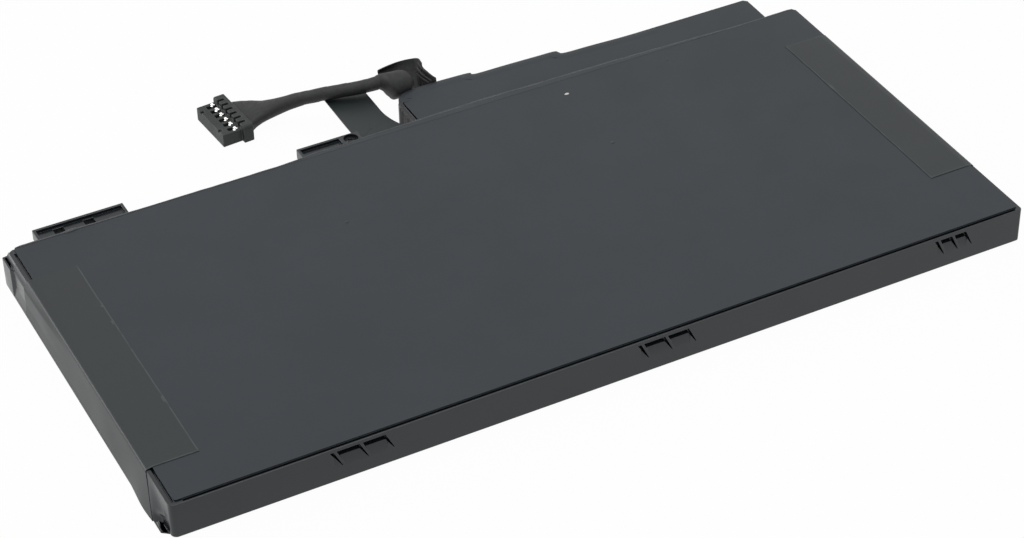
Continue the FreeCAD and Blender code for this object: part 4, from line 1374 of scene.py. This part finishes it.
@dataclass
class Plug(Piece):
    """The plug, its contacts and the fan of wires behind it.

    Args:
        turn: How far the plug is turned, in degrees.
        face: The foot of its mating face, in frame millimetres.
        pitch: The distance between two contacts.
        row: How far behind the face they stand.
        top: The housing's height.
        stations: The fan's rings: frame x, y and z, half their width and half their height.
        lobes: The lobes of a forked contact: along, across and radius.
    """

    turn: float = 4.3
    face: Point = (-46.62, 77.55, 0.0)
    pitch: float = 2.72
    row: float = 4.25
    top: float = 4.0
    stations: Stations = (
        (-21.4, 69.9, 8.05, 1.93, 1.93), (-24.0, 71.5, 6.95, 2.1, 2.15),
        (-26.6, 73.1, 5.6, 2.4, 2.3), (-29.2, 74.6, 4.4, 3.1, 2.35),
        (-31.8, 75.8, 3.4, 4.2, 2.25), (-34.2, 76.7, 2.7, 5.7, 2.2),
        (-36.2, 77.2, 2.25, 7.1, 2.1), (-37.7, 77.4, 2.05, 7.9, 2.0),
        (-38.7, 77.45, 1.95, 7.8, 1.9),
    )
    lobes: Points = ((-0.30, -0.46, 0.44), (0.22, 0.42, 0.5), (0.55, -0.1, 0.3))

    def build(self) -> list[Item]:
        """Make the housing, the fan of wires and the contacts, and return all three."""
        housing = softened(self.nodes["connector_housing"], "plug", 0.22, 3)
        self.dress(housing, "plug_plastic", "connector_housing")
        fan = self.dress(tube_from("fan", self._fan()), "lead_tape", "cable_fanout")
        return [housing, fan, self._contacts()]

    def _turned(self, along: float, across: float, height: float) -> Vector:
        """Turn a step on the plug, in millimetres, to the plug's own heading.

        Args:
            along: Its length away from the mating face.
            across: Its length across the plug's middle line.
            height: Its length upwards.

        Returns:
            The step along the frame's axes.
        """
        turn = math.radians(self.turn)
        return Vector((along * math.cos(turn) - across * math.sin(turn),
                       along * math.sin(turn) + across * math.cos(turn), height))

    def _fan(self) -> Grid:
        """Spread the lead into a flat fan with a faint ridge over each wire.

        Returns:
            The fan's rings.
        """
        stations = smooth_path(self.stations, 7)
        level = [Vector((x, y, 0.0)) for x, y, *_ in stations]
        rings: Grid = []
        for index, (x, y, z, wide, high) in enumerate(stations):
            side, _ = cross_at(level, index)
            spread = ease((wide - 2.5) / 4.0)
            flat = 2.0 / (2.0 + 0.7 * spread)
            ring = []
            for step in range(72):
                turn = math.tau * step / 72
                c, s = math.cos(turn), math.sin(turn)
                across = math.copysign(abs(c) ** flat, c) * wide
                ridge = 0.13 * spread * math.cos(math.tau * across / 2.5) * abs(s)
                up = math.copysign(abs(s) ** flat, s) * high + math.copysign(ridge, s)
                place = Vector((x, y, z)) * MM + (side * across + UP * up) * MM
                place.z += 0.1 * MM * ripple(place, 3.5, 6.0)
                place.z = max(place.z, 0.05 * MM)
                ring.append(place)
            rings.append(ring)
        return rings

    def _contacts(self) -> Item:
        """Set a forked contact over each slot of the plug.

        Returns:
            All six as one piece.
        """
        def fill(work: Work) -> None:
            """Add the lobes of one contact."""
            for along, across, size in self.lobes:
                add_blob(work, size, (1.05, 1.0, 0.8), self._turned(along, across, -0.1) * MM,
                         (16, 10))

        fork = mesh_from("fork", fill, 60.0)
        points = [(Vector(self.face) + self._turned(self.row, self.pitch * (n - 3.5),
                                                    self.top + 0.05)) * MM for n in SIX]
        piece = repeat("contacts", points, fork, 0.08, self.paint.material("contact_metal"))
        return self.dress(piece, "contact_metal", *(f"contact_{n}" for n in SIX))


@dataclass
class Details(Piece):
    """Small marks and laps of film that sit on the covers and along the rims.

    Args:
        specks: Where specks show through the cover film.
        dot: Where a small light dot sits on it.
        fold: The bay's rear edge, from its left corner on.
        fold_profile: The film's fold over it: distance inside the edge, and height.
        apron: The bay's left edge.
        apron_profile: The dark tape's fold over it.
        pleat: How far the tape's pleats stand out, their width, and where they end.
        bow: The cover film's uneven rear edge.
    """

    specks: Pairs = ((158.0, 76.5), (80.9, 78.5), (190.7, 104.0))
    dot: Pair = (158.3, 102.6)
    fold: Pairs = (
        (116.9, 121.0), (117.2, 123.4), (119.3, 125.3), (122.4, 126.0), (127.0, 126.2),
        (134.0, 126.0), (139.9, 125.6), (141.2, 124.4), (150.0, 124.2), (160.0, 123.9),
        (165.9, 123.6), (167.4, 121.8), (176.0, 121.4), (186.0, 120.9), (196.0, 120.8),
    )
    fold_profile: Pairs = (
        (3.6, 10.06), (3.0, 10.11), (1.8, 10.15), (0.5, 10.16), (0.12, 10.05), (0.0, 9.8),
        (0.02, 8.0), (0.1, 5.0),
    )
    apron: Pairs = ((115.9, 110.4), (115.9, 117.5), (116.05, 119.4), (116.8, 122.0))
    apron_profile: Pairs = ((0.85, 10.14), (0.3, 10.15), (0.06, 10.06), (0.0, 9.7),
                            (0.0, 5.0), (0.02, 0.8))
    pleat: Point = (0.42, 1.7, 9.8)
    bow: Pairs = (
        (1.9, 109.45), (40.0, 109.5), (76.0, 109.6), (86.0, 110.5), (100.0, 110.8),
        (121.0, 111.3), (139.0, 111.5), (151.0, 111.2), (175.0, 110.8), (198.0, 110.0),
        (216.0, 109.2), (226.0, 109.3), (234.8, 109.45),
    )

    def build(self) -> None:
        """Add the specks, the light dot, the seam along the rear edge and the bay's folds."""
        self._marks()
        self._seam()
        fold = self._swept(smooth_path(self.fold, 6), self.fold_profile, 0.0)
        self.dress(film_from("bay_fold", fold, -0.1), "cover_film")
        apron = self._swept(smooth_path(self.apron, 12), self.apron_profile, self.pleat[0])
        self.dress(film_from("bay_apron", apron, -0.08), "lead_tape")

    def _marks(self) -> None:
        """Raise the specks under the cover film, lightened as a painted highlight, and set a
        small light dot on it.
        """
        dome = mesh_from("dome", lambda work: add_blob(
            work, 0.55, (1.0, 0.8, 0.32), Vector(), (18, 10)), 60.0)
        points = [at(u, v, COVER_TOP) for u, v in self.specks]
        piece = repeat("specks", points, dome, 0.25, self.paint.material("cover_film"))
        # The specks' domes are lightened as a painted highlight.
        mark_faces(piece, lambda middle, old: 0.8)
        self.dress(piece, "cover_film")
        self.dress(mesh_from("glue_dot", lambda work: add_blob(
            work, 0.5, (1.35, 0.8, 0.4), at(*self.dot, COVER_TOP), (20, 12)), 60.0),
            "cell_glue")

    def _swept(self, outline: Sequence[Sequence[float]], profile: Sequence[Pair],
               pleat: float) -> Grid:
        """Sweep a profile along a line on the floor plan.

        Args:
            outline: The line's u and v.
            profile: Pairs of the distance inside the line and the height.
            pleat: How far upright pleats stand out.

        Returns:
            The swept rows of points.
        """
        line = [Vector(pair) for pair in outline]
        _, width, height = self.pleat
        rows: Grid = []
        run = 0.0
        for index, place in enumerate(line):
            ahead = step_at(line, index).normalized()
            if index:
                run += (place - line[index - 1]).length
            out = pleat * (1.0 - abs(2.0 * ((run / width) % 1.0) - 1.0))
            row = []
            for deep, high in profile:
                deep -= out * (high < height)
                row.append(at(place.x + ahead.y * deep, place.y - ahead.x * deep, high))
            rows.append(row)
        return rows

    def _seam(self) -> None:
        """Lay the film's uneven rear edge, which bows out over the bay, with its bead, which
        is lightened as a painted highlight.
        """
        bead: Grid = []
        strip: Grid = []
        for u, v in smooth_path(self.bow, 36):
            place = at(u, v, 10.42 - 0.1 * ease((v - 109.5) / 1.2))
            bow = ease((v - 109.5) / 0.8)
            size = 0.16 + 0.04 * ripple(place, 3.0, 1.0)
            size += 0.08 * ease((36.0 - u) / 4.0) + 0.26 * bell(u, 17.0, 1.6)
            size *= min(1.0, 0.25 + (u - self.bow[0][0]) * 0.5,
                        0.25 + (self.bow[-1][0] - u) * 0.5)
            place.y -= (0.1 + 0.08 * bow) * MM * ripple(place, 5.0, 3.0)
            wide = size * (1.3 + 1.0 * ease((u - 110.0) / 8.0))
            bead.append([place + Vector((0, wide * math.cos(turn), size * math.sin(turn)))
                         * MM for turn in (math.tau * k / 12 for k in range(12))])
            top = at(u, 109.1, 10.53)
            strip.append([top, top.lerp(place, 0.5) + UP * 0.05 * MM,
                          place + UP * 0.06 * MM])
        self.dress(film_from("rear_film", strip, -0.08, 60.0), "cover_film")
        seam = tube_from("rear_seam", bead, 60.0)
        # The bead is lightened as a painted highlight of the rear edge: strongest right of 82
        # mm, weaker at the left end, weakest between.
        mark_faces(seam, lambda middle, old: 1.5 if middle.x < 37.0 else
                   (2.4 if middle.x > 82.0 else 0.6))
        self.dress(seam, "tray_plastic")


def main() -> None:
    """Build the scene."""
    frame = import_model()
    Studio().build()
    nodes, paint = frame["nodes"], PaintShop()
    lead = Lead(nodes, paint)
    lead.build()
    for part in (Tray, EndTapes, PullTab, Innards):
        part(nodes, paint).build()
    hung = [Knot(nodes, paint).build(), *Plug(nodes, paint).build()]
    Details(nodes, paint).build()
    lead.declare(hung)


if __name__ == "__main__":
    main()
